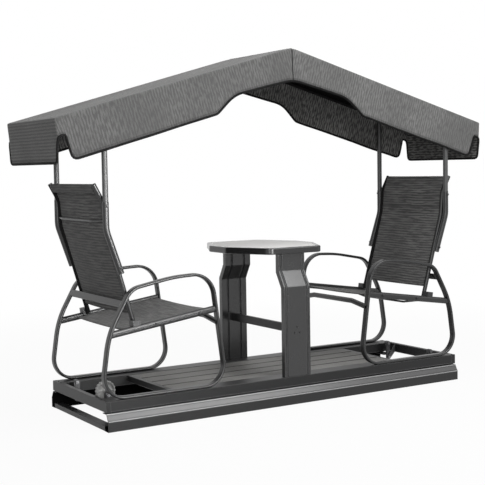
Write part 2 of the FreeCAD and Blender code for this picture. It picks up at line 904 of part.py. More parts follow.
def loop_corners(side, y):
    """Corners of a chair loop's centre line, from the bottom's front end round to its rear end."""
    base_z = size.platform_top + size.loop_thick / 2
    spots = [
        (size.loop_front_x, base_z),
        (size.arm_front_x, size.arm_front_z),
        (size.arm_mid_x, size.arm_mid_z),
        (size.arm_back_x, size.arm_back_z),
        (size.back_leg_x, size.back_leg_z),
        (size.loop_rear_x, base_z),
    ]
    return [at(x * side, y, z) for x, z in spots]


LOOP_RADII = [
    size.loop_front_radius,
    size.arm_front_radius,
    size.arm_mid_radius,
    size.arm_back_radius,
    size.back_leg_radius,
    size.loop_rear_radius,
]


def cross_tube(corners, radii, section, wall, stops):
    """A tube between two others, coped to their outsides."""
    piece, _ = tube(corners, radii, section, wall)
    for stop in stops:
        piece = piece.cut(stop)
    return largest(piece)


def leg_x_at(z, low, high):
    """Distance from the middle of a straight leg between two corners, at a height."""
    share = (z - low[1]) / (high[1] - low[1])
    return low[0] + (high[0] - low[0]) * share


def plug(end, heading, radius):
    """Cap that closes a tube's open end."""
    return Part.makeCylinder(float(radius), size.plug_thick.number, end, heading)


def sling_sheet(stations, half_width, thickness):
    """Cloth between two rails, dished by its own sag at each station along them."""
    outlines = []
    edge = Vector(0, float(half_width), 0)
    for middle, normal, sag in stations:
        down = normal * -float(thickness)
        dip = normal * -float(sag)
        upper = Part.Arc(middle - edge, middle + dip, middle + edge)
        lower = Part.Arc(middle + edge + down, middle + dip + down, middle - edge + down)
        ends = [
            Part.LineSegment(middle + edge, middle + edge + down),
            Part.LineSegment(middle - edge + down, middle - edge),
        ]
        outlines.append(Part.Wire([part.toShape() for part in (upper, ends[0], lower, ends[1])]))
    return Part.makeLoft(outlines, True, True)


back_y = size.post_y - size.post_radius - size.socket_fit - size.socket_wall - size.post_touch - size.back_radius


def back_corners(side, y):
    """Corners of a back rail's centre line, from its foot to its top."""
    spots = [
        (size.back_foot_x, size.back_foot_z),
        (size.back_kink_x, size.back_kink_z),
        (size.back_neck_x, size.back_neck_z),
        (size.back_top_x, size.back_top_z),
    ]
    return [at(x * side, y, z) for x, z in spots]


def between(low, high, z):
    """Point of a straight run at a height."""
    return low + (high - low) * ((float(z) - low.z) / (high.z - low.z))


def make_chair(side):
    """One chair: loops, rails, slings, bars, spreaders and bolts."""
    tag = f"chair_{SIDE_NAMES[side]}"
    loops, cores = {}, {}
    for flank in (FRONT, REAR):
        ring = loop_corners(side, size.loop_y * flank)
        centre = (ring[0] + ring[-1]) * 0.5
        gap = (ring[0] - ring[-1]).normalize() * (size.butt_gap.number / 2)
        corners = [centre + gap] + ring + [centre - gap]
        section = oval_section(corners, Vector(0, 1, 0), size.loop_width, size.loop_thick)
        wall, bar = tube(corners, LOOP_RADII, section, size.loop_wall)
        loops[flank] = bar
        inside = Part.makeFace(bent_path([centre] + ring + [centre], LOOP_RADII), "Part::FaceMakerSimple")
        inside.translate(Vector(0, -size.loop_width.number / 2, 0))
        cores[flank] = inside.extrude(Vector(0, size.loop_width.number, 0))
        feature(f"{tag}_loop_{FLANK_NAMES[flank]}", [wall])
    stops = list(loops.values())

    # seat rails run the length of the loop's inside and are coped to its legs
    seat_heading = (at(size.seat_front_x * side, 0, size.seat_front_z)
                    - at(size.seat_rear_x * side, 0, size.seat_rear_z)).normalize()
    seat_normal = Vector(0, side, 0).cross(seat_heading)
    run_out = seat_heading * (float(size.seat_rear_x - size.seat_front_x) / 2)
    rails, rail_bars = [], []
    for flank in (FRONT, REAR):
        y = size.loop_y * flank
        ends = [
            at(size.seat_rear_x * side, y, size.seat_rear_z) - run_out,
            at(size.seat_front_x * side, y, size.seat_front_z) + run_out,
        ]
        section = oval_section(ends, seat_normal, size.seat_rail_height, size.seat_rail_width)
        wall, bar = tube(ends, [], section, size.seat_rail_wall)
        rails.append(largest(wall.common(cores[flank]).cut(loops[flank])))
        rail_bars.append(bar)
    feature(f"{tag}_seat_rails", rails)

    half = size.loop_y - size.seat_rail_width / 2 - size.sling_clearance
    stations = [
        (at(x * side, 0, seat_height(x)), seat_normal, sag)
        for x, sag in (
            (size.seat_sling_rear_x, size.seat_sag * 0.7),
            (size.seat_sling_mid_x, size.seat_sag),
            (size.seat_sling_front_x, size.seat_sag * 0.5),
        )
    ]
    feature(f"{tag}_seat_sling", [sling_sheet(stations, half, size.sling_thick)])

    # back rails, their top bar and the sling between them
    back_walls, back_bars = [], []
    for flank in (FRONT, REAR):
        corners = back_corners(side, back_y * flank)
        section = round_section(corners, size.back_radius)
        radii = [size.back_kink_radius, size.back_neck_radius]
        wall, bar = tube(corners, radii, section, size.back_wall)
        back_walls.append(wall)
        back_bars.append(bar)
    feature(f"{tag}_back_rails", back_walls)

    foot, kink, neck, top = back_corners(side, 0)
    headings = [(b - a).normalize() for a, b in ((foot, kink), (kink, neck), (neck, top))]
    normals = [heading.cross(Vector(0, side, 0)) for heading in headings]
    bar_end = top - headings[2] * size.top_bar_radius.number
    sling_top = bar_end - headings[2] * (size.top_bar_radius + size.sling_thick).number
    stations = [
        (between(foot, kink, size.back_sling_low_z), normals[0], size.back_sag * 0.6),
        (between(foot, kink, (size.back_sling_low_z + size.back_kink_z) / 2), normals[0], size.back_sag),
        (kink, (normals[0] + normals[1]).normalize(), size.back_sag * 0.8),
        (neck, (normals[1] + normals[2]).normalize(), size.back_sag * 0.4),
        (sling_top, normals[2], size.back_sag * 0.1),
    ]
    half = back_y - size.back_radius - size.sling_clearance
    feature(f"{tag}_back_sling", [sling_sheet(stations, half, size.sling_thick)])

    # bars and spreaders across the chair
    ends = [bar_end + Vector(0, float(back_y) * flank, 0) for flank in (FRONT, REAR)]
    top_bar = cross_tube(ends, [], round_section(ends, size.top_bar_radius), size.bar_wall, back_bars)

    front_x = leg_x_at(
        size.front_bar_z,
        (size.loop_front_x, size.platform_top + size.loop_thick / 2),
        (size.arm_front_x, size.arm_front_z),
    )
    low_leg, high_leg = (size.back_leg_x, size.back_leg_z), (size.arm_back_x, size.arm_back_z)
    flat_x = leg_x_at(size.flat_bar_z, low_leg, high_leg)
    ends = [at(flat_x * side, size.loop_y * flank, size.flat_bar_z) for flank in (FRONT, REAR)]
    lean = (at(high_leg[0] * side, 0, high_leg[1]) - at(low_leg[0] * side, 0, low_leg[1])).normalize()
    section = oval_section(ends, lean, size.flat_bar_height, size.flat_bar_thick)
    feature(f"{tag}_flat_bar", [cross_tube(ends, [], section, size.bar_wall, stops)])

    def bowed_tube(middle, reach, bow, radius, bars):
        """Tube between two others that stands out of line by its bow in the middle."""
        flat = size.spreader_flat.number
        corners = [
            middle + Vector(0, -reach, 0),
            middle + Vector(0, -flat, 0) + bow,
            middle + Vector(0, flat, 0) + bow,
            middle + Vector(0, reach, 0),
        ]
        radii = [size.spreader_bend, size.spreader_bend]
        return cross_tube(corners, radii, round_section(corners, radius), size.bar_wall, bars)

    seat_middle = at(size.spreader_x * side, 0, seat_height(size.spreader_x) - size.spreader_low)
    seat_dip = Vector(0, 0, -size.spreader_dip.number)
    thin = size.spreader_radius
    seat_spreader = bowed_tube(seat_middle, size.loop_y.number, seat_dip, thin, rail_bars)
    back_middle = between(kink, neck, size.back_spreader_z) - normals[1] * size.back_spreader_set.number
    back_dip = normals[1] * -size.back_spreader_dip.number
    back_spreader = bowed_tube(back_middle, float(back_y), back_dip, thin, back_bars)
    front_middle = at(front_x * side, 0, size.front_bar_z)
    front_rise = Vector(0, 0, size.front_bar_rise.number)
    front_bar = bowed_tube(front_middle, size.loop_y.number, front_rise, size.front_bar_radius, stops)
    feature(f"{tag}_cross_tubes", [top_bar, front_bar, seat_spreader, back_spreader])

    # brackets that seat the back rails' feet on the seat rails, and the bolts in the seat rails
    fasteners = []
    low = float(size.seat_rail_height / 2 - size.foot_bracket_bite)
    along = seat_heading * float(size.foot_bracket_half * 2)
    start = at(size.foot_bracket_x * side, 0, seat_height(size.foot_bracket_x)) - along * 0.5 + seat_normal * low
    near, far = float(back_y + size.back_radius / 2), size.foot_bracket_outer.number
    for flank, bar in zip((FRONT, REAR), back_bars):
        inner, outer = start + Vector(0, near * flank, 0), start + Vector(0, far * flank, 0)
        foot_face = Part.Face(Part.makePolygon([inner, outer, outer + along, inner + along, inner]))
        bracket = foot_face.extrude(seat_normal * (size.foot_bracket_rise.number - low))
        for stop in [bar] + rail_bars:
            bracket = bracket.cut(stop)
        fasteners.append(largest(bracket))
        for x in (size.bolt_front_x, size.bolt_rear_x):
            face = size.loop_y + size.seat_rail_width / 2
            spot = at(x * side, face * flank, seat_height(x))
            fasteners.append(
                Part.makeCylinder(size.bolt_radius.number, size.bolt_head.number, spot, Vector(0, flank, 0))
            )
    for flank in (FRONT, REAR):
        rise = Vector(0, float(back_y) * flank, 0)
        fasteners.append(plug(top + rise, headings[2], size.back_radius))
        fasteners.append(plug(foot + rise, headings[0] * -1, size.back_radius))
    feature(f"{tag}_bolts", fasteners)
    return back_bars


socket_radius = size.post_radius + size.socket_fit + size.socket_wall
roof_slope = (size.ridge_z - size.eave_z) / size.canopy_half_length
slope_stretch = math.sqrt(1 + roof_slope.number ** 2)
rafter_drop = size.cover_thick + (size.cover_touch + size.rafter_radius) * slope_stretch
eave_bar_x = size.canopy_half_length - size.eave_inset


def roof_under(x):
    """Height of the roof cloth's underside at a distance from the ridge."""
    return size.ridge_z - size.cover_thick - roof_slope * x


def rafter_height(x):
    return size.ridge_z - rafter_drop - roof_slope * x


def make_canopy_frame():
    """Posts in their sockets, two bent rafters, and the ridge and eave bars between them."""
    rafters, rafter_bars = [], []
    tip_x = eave_bar_x + size.rafter_radius
    for flank in (FRONT, REAR):
        y = size.post_y * flank
        corners = [at(x, y, rafter_height(abs(float(x)))) for x in (-tip_x, Size(0), tip_x)]
        section = round_section(corners, size.rafter_radius)
        wall, bar = tube(corners, [size.rafter_bend], section, size.rafter_wall)
        rafters.append(wall)
        rafter_bars.append(bar)
    feature("canopy_rafters", rafters)

    bars = []
    for x in (-eave_bar_x, Size(0), eave_bar_x):
        ends = [at(x, size.post_y * flank, rafter_height(abs(float(x)))) for flank in (FRONT, REAR)]
        section = round_section(ends, size.rafter_radius)
        bars.append(cross_tube(ends, [], section, size.rafter_wall, rafter_bars))
    feature("canopy_cross_bars", bars)

    for side in (LEFT, RIGHT):
        tag = SIDE_NAMES[side]
        foot, kink, _, _ = back_corners(side, 0)
        posts, sockets, bolts = [], [], []
        for flank, rafter in zip((FRONT, REAR), rafter_bars):
            y = size.post_y * flank
            low_x = between(foot, kink, size.socket_low_z).x
            corners = [
                Vector(low_x, float(y), size.socket_low_z.number),
                at(size.post_x * side, y, size.socket_bend_z),
                at(size.post_x * side, y, size.socket_top_z),
            ]
            section = round_section(corners, socket_radius)
            wall, bar = tube(corners, [size.socket_bend_radius], section, size.socket_wall)
            sockets.append(wall)

            ends = [
                at(size.post_x * side, y, size.socket_top_z - size.post_overlap),
                at(size.post_x * side, y, rafter_height(size.post_x)),
            ]
            section = round_section(ends, size.post_radius)
            posts.append(cross_tube(ends, [], section, size.post_wall, [rafter]))

            rises = [float(size.socket_top_z - size.post_overlap / 2), float(size.socket_low_z + size.post_bolt_rise)]
            spots = [Vector(corners[2].x, float(y), rises[0]), between(corners[0], corners[1], rises[1])]
            for spot in spots:
                length = float(socket_radius + size.bolt_head)
                stud = Part.makeCylinder(size.bolt_radius.number, length, spot, Vector(0, flank, 0))
                bolts.append(largest(stud.cut(bar)))
            bolts.append(plug(corners[0], (corners[0] - corners[1]).normalize(), socket_radius))
        feature(f"canopy_sockets_{tag}", sockets)
        feature(f"canopy_posts_{tag}", posts)
        feature(f"socket_bolts_{tag}", bolts)


def make_canopy_cloth():
    """Roof cloth over the rafters, with a valance along each edge."""
    half, ridge, eave, thick = size.canopy_half_length, size.ridge_z, size.eave_z, size.cover_thick
    outline = [(-half, eave), (0, ridge), (half, eave), (half, eave - thick), (0, ridge - thick), (-half, eave - thick)]
    roof = plate("canopy_roof", "XZ_Plane", size.canopy_half_width * 2, outline)
    keep(roof, "canopy_roof")

    notch_z = roof_under(half) - size.notch_drop
    notch_foot_x = half - size.notch_foot
    right = [
        (half, notch_z),
        (half - size.notch_top, notch_z),
        (notch_foot_x, roof_under(notch_foot_x) - size.valance_side),
        (size.valance_step_out, roof_under(size.valance_step_out) - size.valance_side),
        (size.valance_step_in, roof_under(size.valance_step_in) - size.valance_shoulder),
    ]
    middle = [(Size(0), roof_under(Size(0)) - size.valance_peak)]
    hem = right + middle + [(-x, z) for x, z in reversed(right)]
    half_radii = [size.notch_round, size.valance_corner_round, size.valance_low_round, size.valance_high_round]
    radii = half_radii + [size.valance_peak_round] + half_radii[::-1]
    for flank in (FRONT, REAR):
        y = size.canopy_half_width * flank
        path = bent_path([at(x, y, z) for x, z in hem], radii)
        top = [(-half, notch_z), (-half, roof_under(half)), (Size(0), roof_under(Size(0))),
               (half, roof_under(half)), (half, notch_z)]
        edges = Part.makePolygon([at(x, y, z) for x, z in top]).Edges
        face = Part.Face(Part.Wire(path.Edges + edges))
        feature(f"valance_{FLANK_NAMES[flank]}", [face.extrude(Vector(0, -flank * thick.number, 0))])

    width = size.canopy_half_width - thick
    high = roof_under(half)
    low = high - size.valance_end
    for side in (LEFT, RIGHT):
        x = half * side
        rear = [(width, high - size.notch_drop), (width - size.notch_end, low)]
        hem = rear + [(-y, z) for y, z in reversed(rear)]
        path = bent_path([at(x, y, z) for y, z in hem], [size.end_corner_round, size.end_corner_round])
        top = [hem[-1], (-width, high), (width, high), hem[0]]
        edges = Part.makePolygon([at(x, y, z) for y, z in top]).Edges
        face = Part.Face(Part.Wire(path.Edges + edges))
        feature(f"valance_{SIDE_NAMES[side]}", [face.extrude(Vector(-side * thick.number, 0, 0))])


def check_and_write():
    """Refuse a failed or broken piece, then write one file for each node."""
    doc.recompute()
    failed = [thing.Label for thing in doc.Objects if {"Invalid", "Error"} & set(thing.State)]
    broken = [node.Label for node in nodes if node.Shape.isNull() or not node.Shape.isValid()]
    if failed or broken:
        raise RuntimeError(f"failed: {failed}, broken: {broken}")
    os.makedirs("parts", exist_ok=True)
    for node in nodes:
        node.Shape.exportStep(f"parts/{node.Label}.step")
        print(f"{node.Label}: {len(node.Shape.Solids)} solids, {node.Shape.Volume / 1000:.1f} cm3")


make_base()
make_stands()
make_hangers()
make_platform()
make_brackets()
make_lock()
make_table()
make_chair(LEFT)
make_chair(RIGHT)
make_canopy_frame()
make_canopy_cloth()
check_and_write()
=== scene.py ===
"""Dresses the platform garden swing: canopy cloth, slings, finishes, small fittings and the studio."""

import json
import math
from collections import namedtuple

import bpy
import numpy as np
from bpy.props import FloatProperty, FloatVectorProperty, IntProperty, PointerProperty
from mathutils import Matrix, Vector


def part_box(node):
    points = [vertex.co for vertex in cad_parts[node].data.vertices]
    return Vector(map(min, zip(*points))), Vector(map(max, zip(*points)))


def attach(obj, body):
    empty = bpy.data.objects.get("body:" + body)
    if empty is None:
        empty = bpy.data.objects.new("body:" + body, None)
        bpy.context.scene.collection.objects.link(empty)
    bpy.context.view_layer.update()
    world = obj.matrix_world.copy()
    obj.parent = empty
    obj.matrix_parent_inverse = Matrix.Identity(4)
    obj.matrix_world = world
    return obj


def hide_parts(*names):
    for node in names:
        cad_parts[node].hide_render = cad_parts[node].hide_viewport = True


bl_info = {
    "name": "Platform Garden Swing",
    "version": (1, 0, 0),
    "blender": (4, 5, 0),
    "location": "View3D > Sidebar > Swing",
    "description": "Cloth, finishes, fittings and studio for a platform garden swing",
    "category": "Object",
}

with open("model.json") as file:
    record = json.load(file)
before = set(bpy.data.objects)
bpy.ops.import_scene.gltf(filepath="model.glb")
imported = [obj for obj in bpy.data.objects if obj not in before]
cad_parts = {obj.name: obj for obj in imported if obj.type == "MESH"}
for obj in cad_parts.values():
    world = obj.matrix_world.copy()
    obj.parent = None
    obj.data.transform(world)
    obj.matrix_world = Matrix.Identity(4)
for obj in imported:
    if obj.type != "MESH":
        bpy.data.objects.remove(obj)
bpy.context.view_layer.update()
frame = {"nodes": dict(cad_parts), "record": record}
ROOF_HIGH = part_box("canopy_roof")[1]
FLAP_LOW, FLAP_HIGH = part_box("valance_left")
SOLID_WALL = 0.002
LEFT, RIGHT = -1, 1
SIDE_NAMES = {LEFT: "left", RIGHT: "right"}
FRONT, REAR = -1, 1
UP = (0.0, 0.0, 1.0)
WHITE = (1.0, 1.0, 1.0, 1.0)
CARRIAGE = "carriage"


def length(name, default, description):
    """A size in metres."""
    return FloatProperty(name=name, description=description, default=default, min=0.0, unit="LENGTH")


def tone(name, default, description):
    """A colour."""
    return FloatVectorProperty(
        name=name, description=description, default=default, size=3, min=0.0, max=1.0, subtype="COLOR"
    )


def share(name, default, description):
    """A part of one."""
    return FloatProperty(
        name=name, description=description, default=default, min=0.0, max=1.0, subtype="FACTOR"
    )


def count(name, default, description):
    """A whole number of like things."""
    return IntProperty(name=name, description=description, default=default, min=1)


def level(name, default, description, unit="NONE"):
    """A setting of a lamp or the camera."""
    return FloatProperty(name=name, description=description, default=default, unit=unit)


def spot(name, default, description):
    """A place in the swing's own frame."""
    return FloatVectorProperty(
        name=name, description=description, default=default, size=3, subtype="TRANSLATION"
    )


class CanopyLook(bpy.types.PropertyGroup):
    """Sizes and colours of the canopy cloth."""

    half_length: length("Half length", ROOF_HIGH.x, "Ridge to fold, measured level")
    half_width: length("Half width", ROOF_HIGH.y, "Middle to the front or rear fold")
    ridge_height: length("Ridge height", ROOF_HIGH.z, "Top of the cloth at the ridge")
    eave_height: length("Eave height", FLAP_HIGH.z + SOLID_WALL, "Top of the cloth at the end folds")
    side_drop: length("Side drop", 0.230, "Depth of the front and rear valances")
    peak_drop: length("Peak drop", 0.175, "Depth of these valances under the ridge")
    shoulder_drop: length("Shoulder drop", 0.158, "Depth where the hem starts to step down")
    end_drop: length("End drop", FLAP_HIGH.z - FLAP_LOW.z + SOLID_WALL, "Depth of the end valances")
    corner_drop: length("Corner drop", 0.092, "Depth of the sewn corner seams")
    notch_top: length("Notch top", 0.045, "Width of a side valance's corner notch at its top")
    notch_foot: length("Notch foot", 0.094, "Width of that notch at the hem")
    end_slant: length("End slant", 0.012, "How far an end valance's edge runs in at the hem")
    step_in: length("Step start", 0.375, "Where the hem starts to drop away from the peak")
    step_out: length("Step end", 0.478, "Where the hem has its full drop")
    sag: length("Sag", 0.012, "Sag of the roof between the rafters")
    swell: length("Swell", 0.004, "How far the side valances stand out at the hem")
    wave: length("Wave", 0.007, "Height of the slow waves in the hems")
    lean: length("Lean", 0.014, "How far the end valances hang in at the hem")
    thickness: length("Thickness", 0.0016, "Thickness of the cloth")
    piping: length("Piping", 0.0130, "Diameter of the piping on the hem")
    welt: length("Welt", 0.0050, "Diameter of the welt over the ridge seam")
    stitch_spacing: length("Stitch spacing", 0.0075, "From one stitch to the next")
    stitch_length: length("Stitch length", 0.0046, "Length of a stitch")
    thread: length("Thread", 0.0013, "Thickness of a stitch")
    hem_width: length("Hem width", 0.016, "Hem edge to its stitch line")
    stripe_pitch: length("Stripe pitch", 0.016, "From one woven stripe to the next")
    fleck: length("Fleck", 0.036, "Length of the flecks in the weave")
    yarn: length("Yarn", 0.0011, "Width of a yarn")
    evenness: share("Evenness", 0.18, "How even the stripes are")
    cloth: tone("Cloth", (0.150, 0.149, 0.147), "Ground colour of the cloth")
    stripe: tone("Stripe", (0.080, 0.080, 0.079), "Colour of the woven stripes")
    # Lining: the inner faces get their own paler copy of the cloth, toned for the light that reaches the
    # inside, a painted light.
    lining: tone("Lining", (0.230, 0.227, 0.220), "Colour of the cloth's inner face")
    # Shade: painted shade, the near-black matt tone of the roof's underside and of the lining's stripes.
    shade: tone("Shade", (0.010, 0.010, 0.010), "Colour of the roof's underside")
    trim: tone("Trim", (0.008, 0.008, 0.008), "Colour of the piping and the thread")


class SlingLook(bpy.types.PropertyGroup):
    """Sizes and colours of the seat and back slings."""

    seat_half: length("Seat half width", 0.3195, "Middle to the edge inside a seat rail")
    back_half: length("Back half width", 0.2765, "Middle to the edge inside a back rail")
    seat_sag: length("Seat sag", 0.014, "Dip of the seat between its rails")
    back_sag: length("Back sag", 0.018, "Dip of the back between its rails")
    crease: length("Crease", 0.0014, "Height of the creases")
    thickness: length("Thickness", 0.0014, "Thickness of the woven mesh")
    hem: length("Hem", 0.030, "Width of the turned hems")
    # The bar run places a painted shadow line where the bar presses behind the back cloth.
    bar_run: length("Bar run", 0.531, "From the turned hem's edge up to the bar behind the back")
    stitch_spacing: length("Stitch spacing", 0.007, "From one stitch to the next")
    stitch_length: length("Stitch length", 0.0044, "Length of a stitch")
    thread: length("Thread", 0.0014, "Thickness of a stitch")
    stripe_pitch: length("Stripe pitch", 0.0155, "From one woven stripe to the next")
    fleck: length("Fleck", 0.11, "Length of the flecks in the weave")
    yarn: length("Yarn", 0.0016, "Width of a yarn")
    evenness: share("Evenness", 0.22, "How even the stripes are")
    # Underside paints shade on the faces turned down.
    underside: share("Underside", 0.55, "Tone of the faces turned down, against the upper ones")
    light: tone("Light stripe", (0.200, 0.198, 0.194), "Lighter yarn")
    dark: tone("Dark stripe", (0.062, 0.062, 0.062), "Darker yarn")


class MetalLook(bpy.types.PropertyGroup):
    """Colours of the metalwork, the deck, the table and the wheel."""

    coat: tone("Coat", (0.010, 0.0101, 0.0104), "Powder coat on the tubes and extrusions")
    # The pale edge tone stands partly for wear and partly for a painted glint along the edges.
    edge_wear_and_glint: tone("Coat edge", (0.300, 0.300, 0.304), "Coat worn thin along the edges")
    deck: tone("Deck", (0.178, 0.175, 0.168), "Deck boards")
    deck_dust: tone("Deck dust", (0.260, 0.256, 0.245), "Dust on the deck boards")
    # The hatch tone paints a sheen on faces leaning up, with the hatching in it.
    hatch_and_sheen: tone("Hatch", (0.050, 0.050, 0.051), "Fine hatching on the base's sloping faces")
    # The bead tone paints bright glint lines along the sloping faces.
    glint_line: tone("Bead", (0.230, 0.230, 0.233), "Bright beads along the base's sloping faces")
    # Painted shade: this tone darkens the deck's gaps, the lines beside the glint lines, the fascias' inner
    # faces and the rafters.
    painted_shade_tone: tone("Groove", (0.008, 0.008, 0.008), "Grooves, gaps and the inner sides of channels")
    steel: tone("Steel", (0.075, 0.075, 0.077), "Hanger plates")
    zinc: tone("Zinc", (0.250, 0.250, 0.255), "Pivot bolts and pins")
    black_zinc: tone("Black zinc", (0.026, 0.026, 0.027), "Bolts, brackets and screws")
    rubber: tone("Rubber", (0.016, 0.016, 0.016), "Bumpers")
    wheel: tone("Wheel", (0.260, 0.260, 0.255), "Lock wheel")
    glass: tone("Glass", (0.790, 0.782, 0.770), "Frosted table glass")
    rib_pitch: length("Rib pitch", 0.0095, "From one deck rib to the next")
    rib_width: length("Rib width", 0.0048, "Width of a deck rib")
    rib_height: length("Rib height", 0.0004, "Height of a deck rib")


class FittingLook(bpy.types.PropertyGroup):
    """Sizes of the bolt heads and the lock wheel."""

    bolt_radius: length("Bolt head radius", 0.0078, "Domed heads on rails and posts")
    screw_radius: length("Screw head radius", 0.0050, "Screw heads on the platform's corners")
    flutes: count("Flutes", 18, "Grips round the lock wheel")
    flute_depth: length("Flute depth", 0.0042, "Depth of a grip")
    spokes: count("Spokes", 6, "Ribs on the lock wheel's face")


class StageLook(bpy.types.PropertyGroup):
    """Floor, lamps and camera."""

    floor: tone("Floor", (0.56, 0.56, 0.56), "Floor colour")
    glow: share("Glow", 0.95, "How far the floor under the swing is lifted to white")
    sky: level("Sky", 0.25, "Strength of the even light from all round")
    key: level("Key lamp", 170.0, "Tall soft lamp at the front left", "POWER")
    sheen: level("Sheen lamp", 96.0, "Soft lamp high at the front right", "POWER")
    fill: level("Fill lamp", 20.0, "Soft lamp at the right", "POWER")
    top: level("Top lamp", 120.0, "Soft lamp overhead", "POWER")
    strip: level("Strip lamp", 32.0, "Gridded lamp that only draws highlights on the left posts", "POWER")
    strip_spread: level("Strip spread", math.radians(50), "Beam of the strip lamp", "ROTATION")
    camera: spot("Camera", (-3.375, -5.275, 1.298), "Where the camera stands")
    yaw: level("Yaw", math.radians(31.83), "Turn of the view from straight ahead", "ROTATION")
    pitch: level("Pitch", math.radians(-3.81), "Tilt of the view", "ROTATION")
    roll: level("Roll", math.radians(-0.92), "Lean of the camera", "ROTATION")
    lens: level("Lens", 80.82, "Focal length for the sensor's width", "CAMERA")
    sensor: level("Sensor", 36.0, "Width of the camera's sensor", "CAMERA")
    shift_x: level("Shift x", -0.0097, "Sideways shift of the frame")
    shift_y: level("Shift y", -0.0023, "Upward shift of the frame")


class Wire:
    """A node's output; arithmetic on wires adds Math nodes."""

    def __init__(self, board, socket):
        self.board = board
        self.socket = socket

    def maths(self, operation, *values):
        return self.board.add("ShaderNodeMath", {"operation": operation}, dict(enumerate(values)))

    def most(self, other):
        """The greater of two values."""
        return self.maths("MAXIMUM", self, other)

    def __add__(self, other):
        return self.maths("ADD", self, other)

    def __sub__(self, other):
        return self.maths("SUBTRACT", self, other)

    def __rsub__(self, other):
        return self.maths("SUBTRACT", other, self)

    def __mul__(self, other):
        return self.maths("MULTIPLY", self, other)

    def __truediv__(self, other):
        return self.maths("DIVIDE", self, other)

    def __rtruediv__(self, other):
        return self.maths("DIVIDE", other, self)

    def __mod__(self, other):
        return self.maths("FLOORED_MODULO", self, other)

    def __rmod__(self, other):
        return self.maths("FLOORED_MODULO", other, self)

    def __abs__(self):
        return self.maths("ABSOLUTE", self)

    __radd__ = __add__
    __rmul__ = __mul__


class Board:
    """A node tree and the one way to add to it."""

    def __init__(self, tree):
        self.tree = tree

    def add(self, kind, settings=None, inputs=None, output=0):
        """A node of a kind with its settings, then the values or wires of its inputs."""
        node = self.tree.nodes.new(kind)
        for name, value in (settings or {}).items():
            setattr(node, name, value)
        for name, value in (inputs or {}).items():
            for part in value if isinstance(value, list) else [value]:
                if isinstance(part, Wire):
                    self.tree.links.new(part.socket, node.inputs[name])
                else:
                    node.inputs[name].default_value = part
        return Wire(self, node.outputs[output]) if node.outputs else None


def opaque(colour):
    """A colour with its alpha."""
    return (*colour, 1.0)


def scaled(colour, factor):
    """A colour made lighter or darker as a whole."""
    return [part * factor for part in colour]


MIX_A, MIX_B, MIX_COLOUR = 6, 7, 2
EDGE_START, EDGE_FULL = 0.015, 0.20


class Finish(Board):
    """A procedural material."""

    def __init__(self, name):
        self.material = bpy.data.materials.new(name)
        self.material.use_nodes = True
        super().__init__(self.material.node_tree)
        self.tree.nodes.clear()

    def place(self):
        """A point's place in the swing's frame."""
        return self.add("ShaderNodeTexCoord", output="Object")

    def stretched(self, place, scale):
        return self.add("ShaderNodeMapping", {}, {"Vector": place, "Scale": scale})

    def along(self, place, axis):
        """One part of a vector."""
        return self.add("ShaderNodeSeparateXYZ", {}, {0: place}, output=axis)

    def facing(self, axis):
        """How far the surface faces along an axis."""
        return self.along(self.add("ShaderNodeNewGeometry", output="Normal"), axis)

    def noise(self, place, scale, detail=2.0):
        return self.add("ShaderNodeTexNoise", {}, {"Vector": place, "Scale": scale, "Detail": detail})

    def eased(self, value, low, high):
        """Nothing below low, one above high, and a smooth rise between them."""
        settings = {"interpolation_type": "SMOOTHSTEP"}
        inputs = {"Value": value, "From Min": low, "From Max": high}
        return self.add("ShaderNodeMapRange", settings, inputs)

    def mix(self, factor, first, second):
        """A colour between two."""
        sides = [side if isinstance(side, Wire) else opaque(side) for side in (first, second)]
        inputs = {0: factor, MIX_A: sides[0], MIX_B: sides[1]}
        return self.add("ShaderNodeMix", {"data_type": "RGBA"}, inputs, output=MIX_COLOUR)

    def bump(self, height, distance, normal=None):
        inputs = {"Height": height, "Distance": distance, "Strength": 1.0}
        if normal:
            inputs["Normal"] = normal
        return self.add("ShaderNodeBump", {}, inputs)

    def eased_edges(self, radius):
        """The normal as rounded edges would give it, and a mask along those edges."""
        soft = self.add("ShaderNodeBevel", {"samples": 4}, {"Radius": radius})
        flat = self.add("ShaderNodeNewGeometry", output="Normal")
        settings = {"operation": "DOT_PRODUCT"}
        near = self.add("ShaderNodeVectorMath", settings, {0: soft, 1: flat}, output="Value")
        return soft, self.eased(1 - near, EDGE_START, EDGE_FULL)

    def close(self, inputs, shown=None, hidden=None):
        """The surface itself; where shown falls to nothing, a matt tone takes its place."""
        surface = self.add("ShaderNodeBsdfPrincipled", {}, inputs)
        if shown:
            matt = self.add("ShaderNodeBsdfDiffuse", {}, {"Color": opaque(hidden)})
            surface = self.add("ShaderNodeMixShader", {}, {0: shown, 1: matt, 2: surface})
        self.add("ShaderNodeOutputMaterial", {}, {"Surface": surface})
        return self.material


# Heights of the fine relief in the finishes.
ORANGE_PEEL = 0.00005
DECK_GRAIN = 0.00015
BRUSH_MARK = 0.00005
MOULD_GRAIN = 0.0002
PEBBLE_HEIGHT = 0.00025
YARN_HEIGHT = 0.0003

SHARP = 0.0025
LACQUER_ROUGHNESS = 0.26
# The base's sloping faces: hatching, and painted glint lines with a painted shade line inside each, at equal
# distances above and below the middle.
HATCH_PITCH, HATCH_LEAN = 0.0105, 0.9
GLINT_MIDDLE = 0.0698
GLINT_NEAR, GLINT_FAR = 0.0150, 0.0205
GLINT_EASE = 0.0008
GLINT_SHADE_WIDTH = 0.0042


